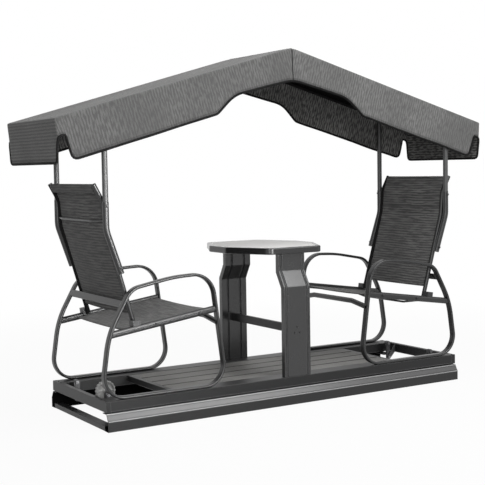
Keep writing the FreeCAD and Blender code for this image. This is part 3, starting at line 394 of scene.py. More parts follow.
def bright_slope(coat, place, paint, look):
    """Paint and clear coat of the base's sloping faces: hatched, with a painted sheen where they lean up,
    between painted shade lines and painted glint lines.
    """
    height = coat.along(place, "Z")
    hatch_and_sheen = abs(((coat.along(place, "X") + HATCH_LEAN * height) / HATCH_PITCH) % 1.0 - 0.5)
    leaning = coat.eased(coat.facing("Z"), low=0.2, high=0.4)
    off = abs(height - GLINT_MIDDLE)
    # A painted shade line runs out to each painted glint line.
    shade_line_start = GLINT_NEAR - GLINT_SHADE_WIDTH
    line = leaning * coat.eased(off, shade_line_start - GLINT_EASE, shade_line_start)
    beyond = coat.eased(off, GLINT_FAR - GLINT_EASE, GLINT_FAR)
    # Painted glint line.
    glint_line = coat.eased(off, GLINT_NEAR - GLINT_EASE, GLINT_NEAR) * (1 - beyond)
    # The faces leaning up get a paler, hatched tone: painted sheen.
    lacquer_and_sheen = leaning * (0.24 + 1.12 * hatch_and_sheen) * (1 - line)
    hatched = coat.mix(line, coat.mix(lacquer_and_sheen, paint, look.hatch_and_sheen), look.painted_shade_tone)
    return coat.mix(glint_line, hatched, look.glint_line), lacquer_and_sheen + glint_line


def powder_coat(name, look, roughness, gloss=0.5, ease=SHARP, inside=None, sloping=False):
    """Satin coat with a fine orange peel, slow changes of tone and pale edges, partly wear and partly painted
    glint.

    Faces turned to the middle may take a matt tone, and faces sloping upwards a hatched paler one, a painted
    sheen.
    """
    coat = Finish(name)
    place = coat.place()
    cloud = coat.noise(place, scale=6.0, detail=3.0)
    grain = coat.noise(place, scale=1400.0, detail=1.0)
    scuff = coat.eased(coat.noise(place, scale=45.0, detail=6.0), low=0.60, high=0.76)
    soft, edge = coat.eased_edges(ease)
    # Pale edges: partly wear, partly painted glint.
    wear_and_glint = edge * (0.25 + 0.5 * cloud) * (SHARP / ease)
    paint = coat.mix(cloud, scaled(look.coat, 0.86), scaled(look.coat, 1.14))
    lacquer_and_sheen = 0.0
    if sloping:
        paint, lacquer_and_sheen = bright_slope(coat, place, paint, look)
    outward = None
    if inside:
        outward = coat.eased(coat.facing("Y") * coat.along(place, "Y"), low=-0.02, high=0.05)
    surface = {
        "Base Color": coat.mix(wear_and_glint, paint, look.edge_wear_and_glint),
        "Roughness": roughness + 0.10 * (cloud - 0.5) + 0.06 * scuff,
        "Normal": coat.bump(grain, ORANGE_PEEL, soft),
        "Specular IOR Level": gloss,
        "Coat Weight": lacquer_and_sheen,
        "Coat Roughness": LACQUER_ROUGHNESS,
    }
    return coat.close(surface, outward, inside)


GAP_DEPTH = 0.002


def deck_finish(look, top):
    """Extruded boards with lengthwise drawing marks, dust along them and painted shade on the boards' sides
    in the gaps between them.
    """
    deck = Finish("deck_coat")
    place = deck.place()
    # Painted shade: the boards' sides below their tops take the dark tone.
    sunk = deck.eased(top - deck.along(place, "Z"), low=0.0, high=GAP_DEPTH)
    gap = deck.eased(abs(deck.facing("Y")), low=0.5, high=0.8) * sunk
    streak = deck.noise(deck.stretched(place, (0.8, 60.0, 60.0)), scale=1.0, detail=4.0)
    blot = deck.noise(place, scale=5.0, detail=4.0)
    grain = deck.noise(place, scale=1100.0, detail=1.0)
    dust = deck.eased(0.6 * blot + 0.4 * streak, low=0.42, high=0.68)
    boards = deck.mix(dust * 0.7, look.deck, look.deck_dust)
    return deck.close({
        "Base Color": deck.mix(gap, boards, look.painted_shade_tone),
        "Roughness": 0.50 + 0.14 * dust,
        "Normal": deck.bump(grain + 0.5 * streak, DECK_GRAIN),
        "Specular IOR Level": 0.28,
    })


def plate_finish(name, colour, metallic, roughness):
    """Bare or plated steel with brushing and dull patches."""
    plate = Finish(name)
    place = plate.place()
    brushed = plate.noise(plate.stretched(place, (900.0, 900.0, 60.0)), scale=1.0)
    patch = plate.eased(plate.noise(place, scale=35.0, detail=5.0), low=0.42, high=0.66)
    return plate.close({
        "Base Color": plate.mix(patch * 0.8, colour, scaled(colour, 0.62)),
        "Metallic": metallic - 0.15 * patch,
        "Roughness": roughness + 0.12 * patch + 0.08 * (brushed - 0.5),
        "Normal": plate.bump(brushed, BRUSH_MARK),
    })


def moulded_finish(name, colour, roughness, grain_scale, gloss=0.5):
    """Moulded plastic or rubber with a fine grain and patches of grime."""
    mould = Finish(name)
    place = mould.place()
    grain = mould.noise(place, grain_scale)
    grime = mould.eased(mould.noise(place, scale=28.0, detail=4.0), low=0.45, high=0.70)
    return mould.close({
        "Base Color": mould.mix(grime * 0.6, colour, scaled(colour, 0.66)),
        "Roughness": roughness + 0.10 * grime,
        "Normal": mould.bump(grain, MOULD_GRAIN),
        "Specular IOR Level": gloss,
    })


def glass_finish(look):
    """Pale frosted safety glass with a fine pebbled face."""
    glass = Finish("frosted_glass")
    place = glass.place()
    pebble = glass.noise(place, scale=260.0, detail=1.0)
    haze = glass.noise(place, scale=7.0, detail=3.0)
    return glass.close({
        "Base Color": glass.mix(haze, scaled(look.glass, 0.90), look.glass),
        "Roughness": 0.44 + 0.10 * haze,
        "Normal": glass.bump(pebble, PEBBLE_HEIGHT),
        "Specular IOR Level": 0.20,
    })


# A cloth's two yarn colours, stripe pitch, fleck length, evenness and yarn width.
Weave = namedtuple("Weave", "ground line pitch fleck evenness yarn")
# How far the painted shade on the underside reaches along and across the cloth, and its dark tone.
Shade = namedtuple("Shade", "run reach tone")
SLUB_SCALE = (420.0, 36.0, 1.0)
STREAKS_PER_STRIPE = 1.9
FOLD_EASE = 0.01
SHADE_EASE = (-0.02, 0.01)
HEM_EDGE = (0.0135, 0.0165)
BAR_EDGE = (0.004, 0.010)


def yarn_relief(along, across, yarn):
    """Height of a plain weave with yarns of one width."""
    warp = abs((along / yarn) % 2.0 - 1.0)
    weft = abs((across / yarn) % 2.0 - 1.0)
    return warp * weft + (1 - warp) * (1 - weft)


def striped_cloth(name, weave, *, hem_tone=None, bold_past=None, bar_run=None, under=None, shade=None):
    """Woven cloth with slubby stripes across its length; its map is in metres.

    The hem may be toned, the stripes clearer past the end folds, a painted shadow line may mark the bar
    behind, faces turned down may take painted shade, and Shade paints the underside as far as the folds dark
    and matt.
    """
    cloth = Finish(name)
    flat = cloth.add("ShaderNodeUVMap", {"uv_map": "cloth"})
    along, across = cloth.along(flat, "X"), cloth.along(flat, "Y")
    drift = cloth.noise(flat, scale=2.6, detail=4.0)
    slub = cloth.noise(cloth.stretched(flat, SLUB_SCALE), scale=1.0)
    streak_scale = (STREAKS_PER_STRIPE / weave.pitch, 1.0 / weave.fleck, 1.0)
    streak = cloth.noise(cloth.stretched(flat, streak_scale), scale=1.0)
    comb = abs((along / weave.pitch + 0.8 * drift) % 1.0 - 0.5) * 2.0
    even = weave.evenness
    if bold_past:
        even = even + 0.5 * cloth.eased(abs(along), bold_past - FOLD_EASE, bold_past + FOLD_EASE)
    uneven = even * comb + (1 - even) * streak + 0.2 * (slub - 0.5)
    stripe = cloth.eased(uneven, low=0.38, high=0.60)
    relief = yarn_relief(along, across, weave.yarn)
    tones = [scaled(weave.ground, 0.80), scaled(weave.ground, 1.20), weave.line]
    # Faces turned down take darker copies of the yarn tones: painted shade.
    if under:
        above = cloth.eased(cloth.facing("Z"), low=-0.2, high=0.2)
        tones = [cloth.mix(above, scaled(yarn_tone, under), yarn_tone) for yarn_tone in tones]
    worn, pale, line = tones
    ground = cloth.mix(cloth.eased(drift, low=0.3, high=0.7), worn, pale)
    base = cloth.mix(stripe * (0.70 + 0.30 * slub), ground, line)
    base = cloth.mix(0.30 * (1 - relief), base, line)
    if hem_tone:
        gap = cloth.add("ShaderNodeAttribute", {"attribute_name": "hem_gap"}, output="Fac")
        base = cloth.mix(0.30 * (1 - cloth.eased(gap, *HEM_EDGE)), base, hem_tone)
    # A painted shadow line across the cloth at the bar behind it.
    if bar_run:
        base = cloth.mix(0.55 * (1 - cloth.eased(abs(along - bar_run), *BAR_EDGE)), base, line)
    lit, dark = None, None
    # Painted shade: within the folds the underside takes the dark matt tone.
    if shade:
        dark = shade.tone
        past_fold = cloth.eased(abs(across), *(shade.reach + ease for ease in SHADE_EASE))
        past_eave = cloth.eased(abs(along), *(shade.run + ease for ease in SHADE_EASE))
        lit = past_fold.most(past_eave)
    surface = {
        "Base Color": base,
        "Roughness": 0.80 + 0.12 * slub,
        "Normal": cloth.bump(relief + 0.6 * stripe, YARN_HEIGHT),
        "Specular IOR Level": 0.22,
        "Sheen Weight": 0.10,
        "Sheen Roughness": 0.5,
    }
    return cloth.close(surface, lit, dark)


def new_object(name, data):
    """A new object in the scene."""
    piece = bpy.data.objects.new(name, data)
    bpy.context.scene.collection.objects.link(piece)
    return piece


def plain(piece):
    """Turn a piece's modifiers into its own mesh."""
    bpy.context.view_layer.update()
    scene = bpy.context.evaluated_depsgraph_get()
    mesh = bpy.data.meshes.new_from_object(
        piece.evaluated_get(scene), preserve_all_data_layers=True, depsgraph=scene
    )
    piece.modifiers.clear()
    piece.data = mesh
    return piece


def walled(cloth, thickness, lining=0):
    """Give a cloth its thickness behind its face; lining counts on to the inner face's finish."""
    wall = cloth.modifiers.new("wall", "SOLIDIFY")
    wall.thickness = thickness
    wall.offset = -1.0
    wall.material_offset = lining
    return plain(cloth)


def placed(piece, body, slot, *replaced):
    """Tie a finished piece to its body and hide the solids it stands for; its slot is not used."""
    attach(piece, body)
    if replaced:
        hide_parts(*replaced)
    return piece


class Pattern(Board):
    """A Geometry Nodes tree with named inputs, run once over a guide mesh."""

    def __init__(self, name, sizes):
        super().__init__(bpy.data.node_groups.new(name, "GeometryNodeTree"))
        kinds = {"Guide": "NodeSocketGeometry", **sizes, "Finish": "NodeSocketMaterial"}
        face = self.tree.interface
        self.keys = {
            label: face.new_socket(label, in_out="INPUT", socket_type=kind).identifier
            for label, kind in kinds.items()
        }
        face.new_socket("Piece", in_out="OUTPUT", socket_type="NodeSocketGeometry")

    def given(self, label):
        return self.add("NodeGroupInput", output=label)

    def scattered(self, points, instance, **ways):
        """A copy of one shape at every point."""
        inputs = {"Points": points, "Instance": instance, **ways}
        return self.add("GeometryNodeInstanceOnPoints", {}, inputs)

    def close(self, piece):
        whole = self.add("GeometryNodeRealizeInstances", {}, {"Geometry": piece})
        inputs = {"Geometry": whole, "Material": self.given("Finish")}
        painted = self.add("GeometryNodeSetMaterial", {}, inputs)
        self.add("NodeGroupOutput", {}, {"Piece": painted})
        return self

    def run(self, name, guide, finish, **sizes):
        """The plain mesh that the tree gives over a guide mesh."""
        piece = new_object(name, guide)
        modifier = piece.modifiers.new("pattern", "NODES")
        modifier.node_group = self.tree
        for label, value in {**sizes, "Finish": finish}.items():
            modifier[self.keys[label]] = value
        return plain(piece)


CLOSED_WITHIN = 1e-6


def guide_line(name, lines):
    """Bare polylines for a pattern to follow; a line that ends where it starts is closed."""
    points, edges = [], []
    for line in lines:
        first = len(points)
        closed = (line[0] - line[-1]).length < CLOSED_WITHIN
        kept = line[:-1] if closed else line
        points += [tuple(point) for point in kept]
        edges += [(first + n, first + n + 1) for n in range(len(kept) - 1)]
        if closed:
            edges.append((len(points) - 1, first))
    mesh = bpy.data.meshes.new(name)
    mesh.from_pydata(points, edges, [])
    return mesh


def guide_points(name, spots):
    """Bare points, each with the way it faces."""
    mesh = bpy.data.meshes.new(name)
    mesh.from_pydata([place for place, _ in spots], [], [])
    facing = mesh.attributes.new("facing", "FLOAT_VECTOR", "POINT")
    for number, (_, way) in enumerate(spots):
        facing.data[number].vector = way
    return mesh


def follow(pattern, step):
    """The guide as a smooth curve with even points."""
    line = pattern.add("GeometryNodeMeshToCurve", {}, {"Mesh": pattern.given("Guide")})
    line = pattern.add("GeometryNodeCurveSplineType", {"spline_type": "CATMULL_ROM"}, {"Curve": line})
    return pattern.add("GeometryNodeResampleCurve", {"mode": "LENGTH"}, {"Curve": line, "Length": step})


def piping_pattern():
    """A round cord along the guide."""
    pattern = Pattern("piping", {"Diameter": "NodeSocketFloat", "Step": "NodeSocketFloat"})
    line = follow(pattern, pattern.given("Step"))
    radius = pattern.given("Diameter") * 0.5
    ring = pattern.add("GeometryNodeCurvePrimitiveCircle", {}, {"Resolution": 8, "Radius": radius})
    inputs = {"Curve": line, "Profile Curve": ring, "Fill Caps": True}
    return pattern.close(pattern.add("GeometryNodeCurveToMesh", {}, inputs))


def stitch_pattern():
    """Short raised threads along the guide."""
    sizes = {label: "NodeSocketFloat" for label in ("Spacing", "Length", "Thread")}
    pattern = Pattern("stitches", sizes)
    line = follow(pattern, pattern.given("Spacing"))
    glint_line = pattern.add("GeometryNodeMeshUVSphere", {}, {"Segments": 6, "Rings": 4, "Radius": 0.5})
    thread = pattern.given("Thread")
    shape = pattern.add("ShaderNodeCombineXYZ", {}, {"X": pattern.given("Length"), "Y": thread, "Z": thread})
    heading = pattern.add("GeometryNodeInputTangent")
    turn = pattern.add("FunctionNodeAlignRotationToVector", {"axis": "X"}, {"Vector": heading})
    return pattern.close(pattern.scattered(line, glint_line, Rotation=turn, Scale=shape))


def rib_pattern():
    """Straight flat ribs, one at each guide point."""
    pattern = Pattern("ribs", {"Size": "NodeSocketVector"})
    rib = pattern.add("GeometryNodeMeshCube", {}, {"Size": pattern.given("Size")})
    return pattern.close(pattern.scattered(pattern.given("Guide"), rib))


# Shares of a bolt head's radius.
WASHER_DEPTH = 0.16
DOME_REACH = 0.86
DOME_RISE = 0.55
SOCKET_REACH = 0.42
SOCKET_DEPTH = 0.70
SOCKET_LIFT = 0.55


def bolt_pattern():
    """Domed heads with a six-sided socket, facing the way each guide point says."""
    pattern = Pattern("bolt_heads", {"Radius": "NodeSocketFloat"})
    radius = pattern.given("Radius")

    def cylinder(sides, reach, depth):
        inputs = {"Vertices": sides, "Radius": reach * radius, "Depth": depth * radius}
        return pattern.add("GeometryNodeMeshCylinder", {}, inputs)

    washer = cylinder(sides=24, reach=1.0, depth=WASHER_DEPTH)
    ball = {"Segments": 24, "Rings": 12, "Radius": DOME_REACH * radius}
    dome = pattern.add("GeometryNodeMeshUVSphere", {}, ball)
    dome = pattern.add("GeometryNodeTransform", {}, {"Geometry": dome, "Scale": (1.0, 1.0, DOME_RISE)})
    lift = pattern.add("ShaderNodeCombineXYZ", {}, {"Z": SOCKET_LIFT * radius})
    socket = cylinder(sides=6, reach=SOCKET_REACH, depth=SOCKET_DEPTH)
    socket = pattern.add("GeometryNodeTransform", {}, {"Geometry": socket, "Translation": lift})
    settings = {"operation": "DIFFERENCE"}
    head = pattern.add("GeometryNodeMeshBoolean", settings, {"Mesh 1": dome, "Mesh 2": socket})
    whole = pattern.add("GeometryNodeJoinGeometry", {}, {"Geometry": [washer, head]})
    settings = {"data_type": "FLOAT_VECTOR"}
    facing = pattern.add("GeometryNodeInputNamedAttribute", settings, {"Name": "facing"})
    turn = pattern.add("FunctionNodeAlignRotationToVector", {"axis": "Z"}, {"Vector": facing})
    return pattern.close(pattern.scattered(pattern.given("Guide"), whole, Rotation=turn))


ROUND_STEPS = 6


def rounded(corners, radii):
    """Straight runs between corners, with each inner corner eased by its radius."""
    line = [corners[0]]
    for before, corner, after, radius in zip(corners, corners[1:], corners[2:], radii):
        into, out = (corner - before).normalized(), (after - corner).normalized()
        reach = radius * math.tan(into.angle(out) / 2)
        start, end = corner - into * reach, corner + out * reach
        for step in range(ROUND_STEPS + 1):
            part = step / ROUND_STEPS
            line.append(start.lerp(corner, part).lerp(corner.lerp(end, part), part))
    line.append(corners[-1])
    return line


def divided(line, pitch):
    """The line with its longer runs split into equal steps."""
    points = [line[0]]
    for start, end in zip(line, line[1:]):
        steps = max(1, math.ceil((end - start).length / pitch))
        points += [start.lerp(end, (step + 1) / steps) for step in range(steps)]
    return points


def run_lengths(line):
    """Distance along a line to each of its points."""
    steps = [(after - before).length for before, after in zip(line, line[1:])]
    return np.concatenate([[0.0], np.cumsum(steps)])


class ClothGrid:
    """Quads over shared points, with a flat map in metres."""

    def __init__(self):
        self.points, self.gaps = [], []
        self.faces, self.flats = [], []

    def point(self, place, gap):
        """The number of a new point; gap is how far it lies above the hem."""
        self.points.append(tuple(place))
        self.gaps.append(gap)
        return len(self.points) - 1

    def weave_in(self, numbers, flat, flip):
        """Add the quads of a table of points; flat gives each its place on the flat cloth."""
        rows, columns = len(numbers) - 1, len(numbers[0]) - 1
        for row in range(rows):
            for column in range(columns):
                ring = [(row, column), (row + 1, column), (row + 1, column + 1), (row, column + 1)]
                if flip:
                    ring.reverse()
                self.faces.append([numbers[r][c] for r, c in ring])
                self.flats.append([flat[r][c] for r, c in ring])

    def mesh(self, name):
        made = bpy.data.meshes.new(name)
        made.from_pydata(self.points, [], self.faces)
        layer = made.uv_layers.new(name="cloth")
        corners = [corner for ring in self.flats for corner in ring]
        layer.data.foreach_set("uv", np.array(corners, np.float32).ravel())
        gap = made.attributes.new("hem_gap", "FLOAT", "POINT")
        gap.data.foreach_set("value", np.array(self.gaps, np.float32))
        made.shade_smooth()
        return made


FAR_FROM_HEM = 1.0
# Depths of the first rows under a fold, and the number of rows from there to the stitch line.
FOLD_ROWS = (0.0, 0.010, 0.028)
HANG_ROWS = 8
# Spacing of the hem's points, and the radii of its corners from the corner seam inwards.
HEM_PITCH = 0.034
SIDE_ROUNDS = (0.020, 0.045, 0.035, 0.150)
END_ROUNDS = (0.025,)
# How far a valance takes up its neighbour's hang, and how far a notch's points fan out past it.
CORNER_BLEND = 0.12
FAN_REACH = 0.070
# Rounding of the ridge, what the hem has more, and the share of it by which the roof is lifted.
RIDGE_EASE, HEM_EASE = 0.008, 0.012
RIDGE_LIFT = 0.25
# Powers that shape the sag, the swell and the lean.
SAG_CURVE = 0.9
SIDE_CURVE, END_CURVE = 1.4, 1.2
# Shares of the wave height, then each wave's height, its turn per metre and its start.
SIDE_WAVE, END_WAVE = 0.66, 0.5
SIDE_WAVES = ((1.0, 13.0, 0.6), (0.6, 23.0, 2.1))
END_WAVES = ((1.0, 23.0, 0.9),)


def waves(parts, run):
    """Slow waves along a hem."""
    return sum(height * math.sin(run * turn + start) for height, turn, start in parts)


class CanopyShape:
    """The canopy cloth as one sheet: a gabled roof with a valance hanging from each fold."""

    def __init__(self, look):
        self.look = look
        self.slope = (look.ridge_height - look.eave_height) / look.half_length
        self.stretch = math.hypot(1.0, self.slope)
        deep, shallow = look.side_drop, look.corner_drop
        side = [
            (0.0, shallow),
            (look.notch_top, shallow),
            (look.notch_foot, deep),
            (look.half_length - look.step_out, deep),
            (look.half_length - look.step_in, look.shoulder_drop),
            (look.half_length, look.peak_drop),
        ]
        end = [(0.0, shallow), (look.end_slant, look.end_drop), (look.half_width, look.end_drop)]
        self.side_hem = self.fanned(side, SIDE_ROUNDS, look.notch_foot + FAN_REACH)
        self.end_hem = self.fanned(end, END_ROUNDS, look.end_slant + FAN_REACH)
        self.grid = ClothGrid()

    @staticmethod
    def fanned(corners, radii, zone):
        """Hem points as (fold inset, hem inset, drop); the notch's points fan out along the fold."""
        line = divided(rounded([Vector(corner) for corner in corners], radii), HEM_PITCH)
        lengths = run_lengths(line)
        last = max(n for n, point in enumerate(line) if point.x <= zone)
        reach = line[last].x
        return [
            (reach * lengths[n] / lengths[last] if n <= last else point.x, point.x, point.y)
            for n, point in enumerate(line)
        ]

    def top(self, x, ease):
        """Height of the roof's face, with the ridge eased."""
        return self.look.ridge_height - self.slope * (math.hypot(x, ease) - RIDGE_LIFT * ease)

    def roof_place(self, x, y):
        """A point of the roof, which sags between the rafters."""
        look = self.look
        across = 1 - (y / look.half_width) ** 2
        down = abs(x) / look.half_length
        dip = look.sag * across * math.sin(math.pi * down) ** SAG_CURVE
        return x, y, self.top(x, RIDGE_EASE) - dip

    def swell(self, hang, x):
        """How far a side valance stands out."""
        return hang ** SIDE_CURVE * (self.look.swell + SIDE_WAVE * self.look.wave * waves(SIDE_WAVES, x))

    def lean(self, hang, y):
        """How far an end valance hangs in."""
        return hang ** END_CURVE * (self.look.lean + END_WAVE * self.look.wave * waves(END_WAVES, y))

    def hangs(self, drop):
        """Shares of the drop at which the rows lie."""
        near = [row / drop for row in FOLD_ROWS]
        low = 1 - self.look.hem_width / drop
        rest = [near[-1] + (low - near[-1]) * (n + 1) / HANG_ROWS for n in range(HANG_ROWS)]
        return near + rest + [1.0]

    def table(self, hem, place, shared):
        """Point numbers of one valance, its fold and corners shared."""
        numbers = []
        for column, (fold, low, drop) in enumerate(hem):
            chain = []
            for row, hang in enumerate(self.hangs(drop)):
                inset = fold + (low - fold) * hang
                known = shared(column, row)
                if known is None:
                    spot_at = place(column, inset, fold, drop * hang, hang)
                    known = self.grid.point(spot_at, drop * (1 - hang))
                chain.append(known)
            numbers.append(chain)
        return numbers

    def spread(self, hem, flat):
        """Places of one valance's points on the flat cloth."""
        rows = []
        for column, (fold, low, drop) in enumerate(hem):
            hangs = self.hangs(drop)
            rows.append([flat(column, fold + (low - fold) * hang, drop * hang) for hang in hangs])
        return rows

    def side_flat(self, side, flank):
        """The flat map of half a side valance, square to the sloping fold."""
        def flat(_, inset, depth):
            along = (self.look.half_length - inset) * self.stretch + depth * self.slope / self.stretch
            return side * along, flank * (self.look.half_width + depth / self.stretch)
        return flat

    def build(self):
        """The mesh, and the hem, stitch and ridge lines as point numbers."""
        look, grid = self.look, self.grid
        half = self.side_hem
        side_hem = half + half[-2::-1]
        middle = len(half) - 1
        x_signs = [-1.0] * len(half) + [1.0] * (len(half) - 1)
        short = self.end_hem
        end_hem = short + short[-2::-1]
        y_signs = [-1.0] * len(short) + [1.0] * (len(short) - 1)
        xs = [sign * (look.half_length - fold) for sign, (fold, _, _) in zip(x_signs, side_hem)]
        ys = [sign * (look.half_width - fold) for sign, (fold, _, _) in zip(y_signs, end_hem)]
        roof = [[grid.point(self.roof_place(x, y), FAR_FROM_HEM) for y in ys] for x in xs]
        grid.weave_in(roof, [[(x * self.stretch, y) for y in ys] for x in xs], False)

        rims, ends = {}, {}
        for flank in (FRONT, REAR):
            edge = 0 if flank == FRONT else len(ys) - 1

            def hang_side(column, inset, fold, depth, hang, flank=flank):
                x = x_signs[column] * (look.half_length - inset)
                corner = max(0.0, 1 - fold / CORNER_BLEND) ** 2
                x_in = x - x_signs[column] * self.lean(hang, flank * look.half_width) * corner
                out = self.swell(hang, x_signs[column] * (look.half_length - fold))
                height = self.top(x, RIDGE_EASE + HEM_EASE * hang) - depth
                return x_in, flank * (look.half_width + out), height

            def fold_side(column, row, edge=edge):
                return roof[column][edge] if row == 0 else None

            rims[flank] = self.table(side_hem, hang_side, fold_side)
            for side, span in ((LEFT, slice(0, middle + 1)), (RIGHT, slice(middle, None))):
                flats = self.spread(side_hem, self.side_flat(side, flank))
                grid.weave_in(rims[flank][span], flats[span], flank == FRONT)

        for side in (LEFT, RIGHT):
            column_at = 0 if side == LEFT else len(xs) - 1

            def hang_end(column, inset, fold, depth, hang, side=side):
                y = y_signs[column] * (look.half_width - inset)
                corner = max(0.0, 1 - fold / CORNER_BLEND) ** 2
                y_out = y + y_signs[column] * self.swell(hang, side * look.half_length) * corner
                return side * (look.half_length - self.lean(hang, y)), y_out, look.eave_height - depth

            def flat_end(column, inset, depth, side=side):
                y = y_signs[column] * (look.half_width - inset)
                return side * (look.half_length * self.stretch + depth), y

            def fold_end(column, row, column_at=column_at):
                if row == 0:
                    return roof[column_at][column]
                if column == 0:
                    return rims[FRONT][column_at][row]
                if column == len(end_hem) - 1:
                    return rims[REAR][column_at][row]
                return None

            ends[side] = self.table(end_hem, hang_end, fold_end)
            grid.weave_in(ends[side], self.spread(end_hem, flat_end), side == RIGHT)
        ridge = rims[FRONT][middle][::-1] + roof[middle][1:-1] + rims[REAR][middle]
        hem, seam = self.loop(rims, ends, -1), self.loop(rims, ends, -2)
        return grid.mesh("canopy_cloth"), hem, seam, ridge

    @staticmethod
    def loop(rims, ends, row):
        """One closed row of points round all four valances."""
        front, rear = ([chain[row] for chain in rims[flank]] for flank in (FRONT, REAR))
        left, right = ([chain[row] for chain in ends[side]] for side in (LEFT, RIGHT))
        return front + right[1:-1] + rear[::-1] + left[-2:0:-1] + front[:1]


CORD_STEP = 0.012
THREAD_LIFT = 0.0004
RIDGE_SEAM = 0.014
RIDGE_SEAM_INSET = 0.02
RIDGE_SEAM_POINTS = 24


class SWING_OT_canopy(bpy.types.Operator):
    """Sew the canopy: one sheet with its hem piping and stitches"""

    bl_idname = "swing.canopy"
    bl_label = "Canopy cloth"

    def execute(self, context):
        look = context.scene.swing_canopy
        shape = CanopyShape(look)
        mesh, hem, seam, ridge = shape.build()
        fold_run = look.half_length * shape.stretch
        face = Weave(look.cloth, look.stripe, look.stripe_pitch, look.fleck, look.evenness, look.yarn)
        # The inner face: a copy of the cloth with the paler lining ground, painted light, and the painted
        # shade tone in its stripes.
        back = face._replace(ground=look.lining, line=look.shade)
        shade = Shade(fold_run, look.half_width, look.shade)
        mesh.materials.append(striped_cloth("canopy_cloth", face, hem_tone=look.trim, bold_past=fold_run))
        mesh.materials.append(striped_cloth("canopy_lining", back, shade=shade))
        cloth = new_object("canopy_cloth", mesh)
        smooth = cloth.modifiers.new("ease", "SUBSURF")
        smooth.levels = smooth.render_levels = 1
        plain(cloth)
        eased = [vertex.co.copy() for vertex in cloth.data.vertices]
        normals = [vertex.normal.copy() for vertex in cloth.data.vertices]
        walled(cloth, look.thickness, lining=1)

        trim = moulded_finish("canopy_trim", look.trim, roughness=0.80, grain_scale=900.0, gloss=0.12)
        piping = piping_pattern()
        trims = []
        for name, guide_name, numbers, diameter in (
            ("canopy_piping", "hem_line", hem, look.piping),
            ("canopy_ridge_welt", "ridge_line", ridge, look.welt),
        ):
            guide = guide_line(guide_name, [[eased[n] for n in numbers]])
            cord = piping.run(name, guide, trim, Diameter=diameter, Step=CORD_STEP)
            cord.data.shade_smooth()
            trims.append(cord)
        raised = [eased[n] + normals[n] * THREAD_LIFT for n in seam]
        guide = guide_line("seam_line", [raised] + self.ridge_seams(shape, look))
        trims.append(stitch_pattern().run(
            "canopy_stitches", guide, trim,
            Spacing=look.stitch_spacing, Length=look.stitch_length, Thread=look.thread,
        ))
        for piece in trims:
            placed(piece, CARRIAGE, "canopy_cloth")
        nodes = ["canopy_roof", *(f"valance_{way}" for way in ("front", "rear", "left", "right"))]
        placed(cloth, CARRIAGE, "canopy_cloth", *nodes)
        width = 2 * (look.half_width + look.side_drop)
        2 * fold_run + 2 * look.end_drop
        2 * fold_run * width + 4 * look.half_width * look.end_drop
        return {"FINISHED"}

    @staticmethod
    def ridge_seams(shape, look):
        """Stitch lines either side of the ridge seam."""
        end = look.half_width - RIDGE_SEAM_INSET
        lift = Vector((0.0, 0.0, THREAD_LIFT))
        return [
            [Vector(shape.roof_place(x, y)) + lift for y in np.linspace(-end, end, RIDGE_SEAM_POINTS)]
            for x in (-RIDGE_SEAM, RIDGE_SEAM)
        ]


# The right chair in side view: distance from the swing's middle, and height.
SEAT_REAR, SEAT_FRONT = Vector((1.100, 0.482)), Vector((0.505, 0.566))
SEAT_CLOTH_REAR, SEAT_CLOTH_FRONT = 1.014, 0.527
BACK_LINE = [Vector(corner) for corner in ((0.965, 0.516), (1.108, 1.005), (1.120, 1.140), (1.170, 1.232))]
BACK_RADII = (0.150, 0.070)
BACK_LOW = 0.576
# The back cloth over its top bar: the last bend as a share of the neck, and the tail behind the bar.
TOP_BAR_RADIUS = 0.010
TOP_BAR_GAP = 0.0016
TOP_BEND, TOP_BEND_RADIUS = 0.62, 0.10
TOP_TAIL = 0.035
TURN_RADIUS = 0.0022
TURN_STEPS, TOP_STEPS = 6, 10
CLOTH_PITCH = 0.022


def seat_point(x):
    """Point of the seat line at a distance from the middle."""
    return SEAT_REAR.lerp(SEAT_FRONT, (SEAT_REAR.x - x) / (SEAT_REAR.x - SEAT_FRONT.x))


def turned(start, heading, centre_way, radius, steps):
    """Points of a half turn that starts at a point along a heading and bends towards one side."""
    centre = start + centre_way * radius
    points = []
    for step in range(1, steps + 1):
        angle = math.pi * step / steps
        points.append(centre - centre_way * (radius * math.cos(angle)) + heading * (radius * math.sin(angle)))
    return points


def seat_path(hem):
    """Seat cloth in side view, from its rear hem to its front hem, both turned under."""
    rear, front = seat_point(SEAT_CLOTH_REAR), seat_point(SEAT_CLOTH_FRONT)
    heading = (front - rear).normalized()
    under = Vector((-heading.y, heading.x))
    tail = turned(front, heading, under, TURN_RADIUS, TURN_STEPS)
    nose = turned(rear, -heading, under, TURN_RADIUS, TURN_STEPS)
    line = [nose[-1] + heading * hem] + nose[::-1] + divided([rear, front], CLOTH_PITCH) + tail
    line.append(tail[-1] - heading * hem)
    return line, under


def back_path(hem):
    """Back cloth in side view, from its low hem up and over the top bar."""
    foot, kink, neck, top = BACK_LINE
    low = foot.lerp(kink, (BACK_LOW - foot.y) / (kink.y - foot.y))
    rise = (top - neck).normalized()
    away = Vector((rise.y, -rise.x))
    reach = TOP_BAR_RADIUS + TOP_BAR_GAP
    bar = top - rise * TOP_BAR_RADIUS
    over = bar - away * reach
    start = (kink - low).normalized()
    behind = Vector((start.y, -start.x))
    nose = turned(low, -start, behind, TURN_RADIUS, TURN_STEPS)
    run = rounded([low, kink, neck, neck.lerp(over, TOP_BEND), over], (*BACK_RADII, TOP_BEND_RADIUS))
    tail = turned(over, rise, away, reach, TOP_STEPS)
    line = [nose[-1] + start * hem] + nose[::-1] + divided(run, CLOTH_PITCH) + tail
    line.append(tail[-1] - rise * TOP_TAIL)
    return line, behind


Sling = namedtuple("Sling", "path half sag dish finish carriers")
# Shares of the sag at even steps along the cloth.
SEAT_DISH = (0.35, 1.0, 0.5)
BACK_DISH = (0.6, 1.0, 0.85, 0.35, 0.0)
SLING_COLUMNS = 41
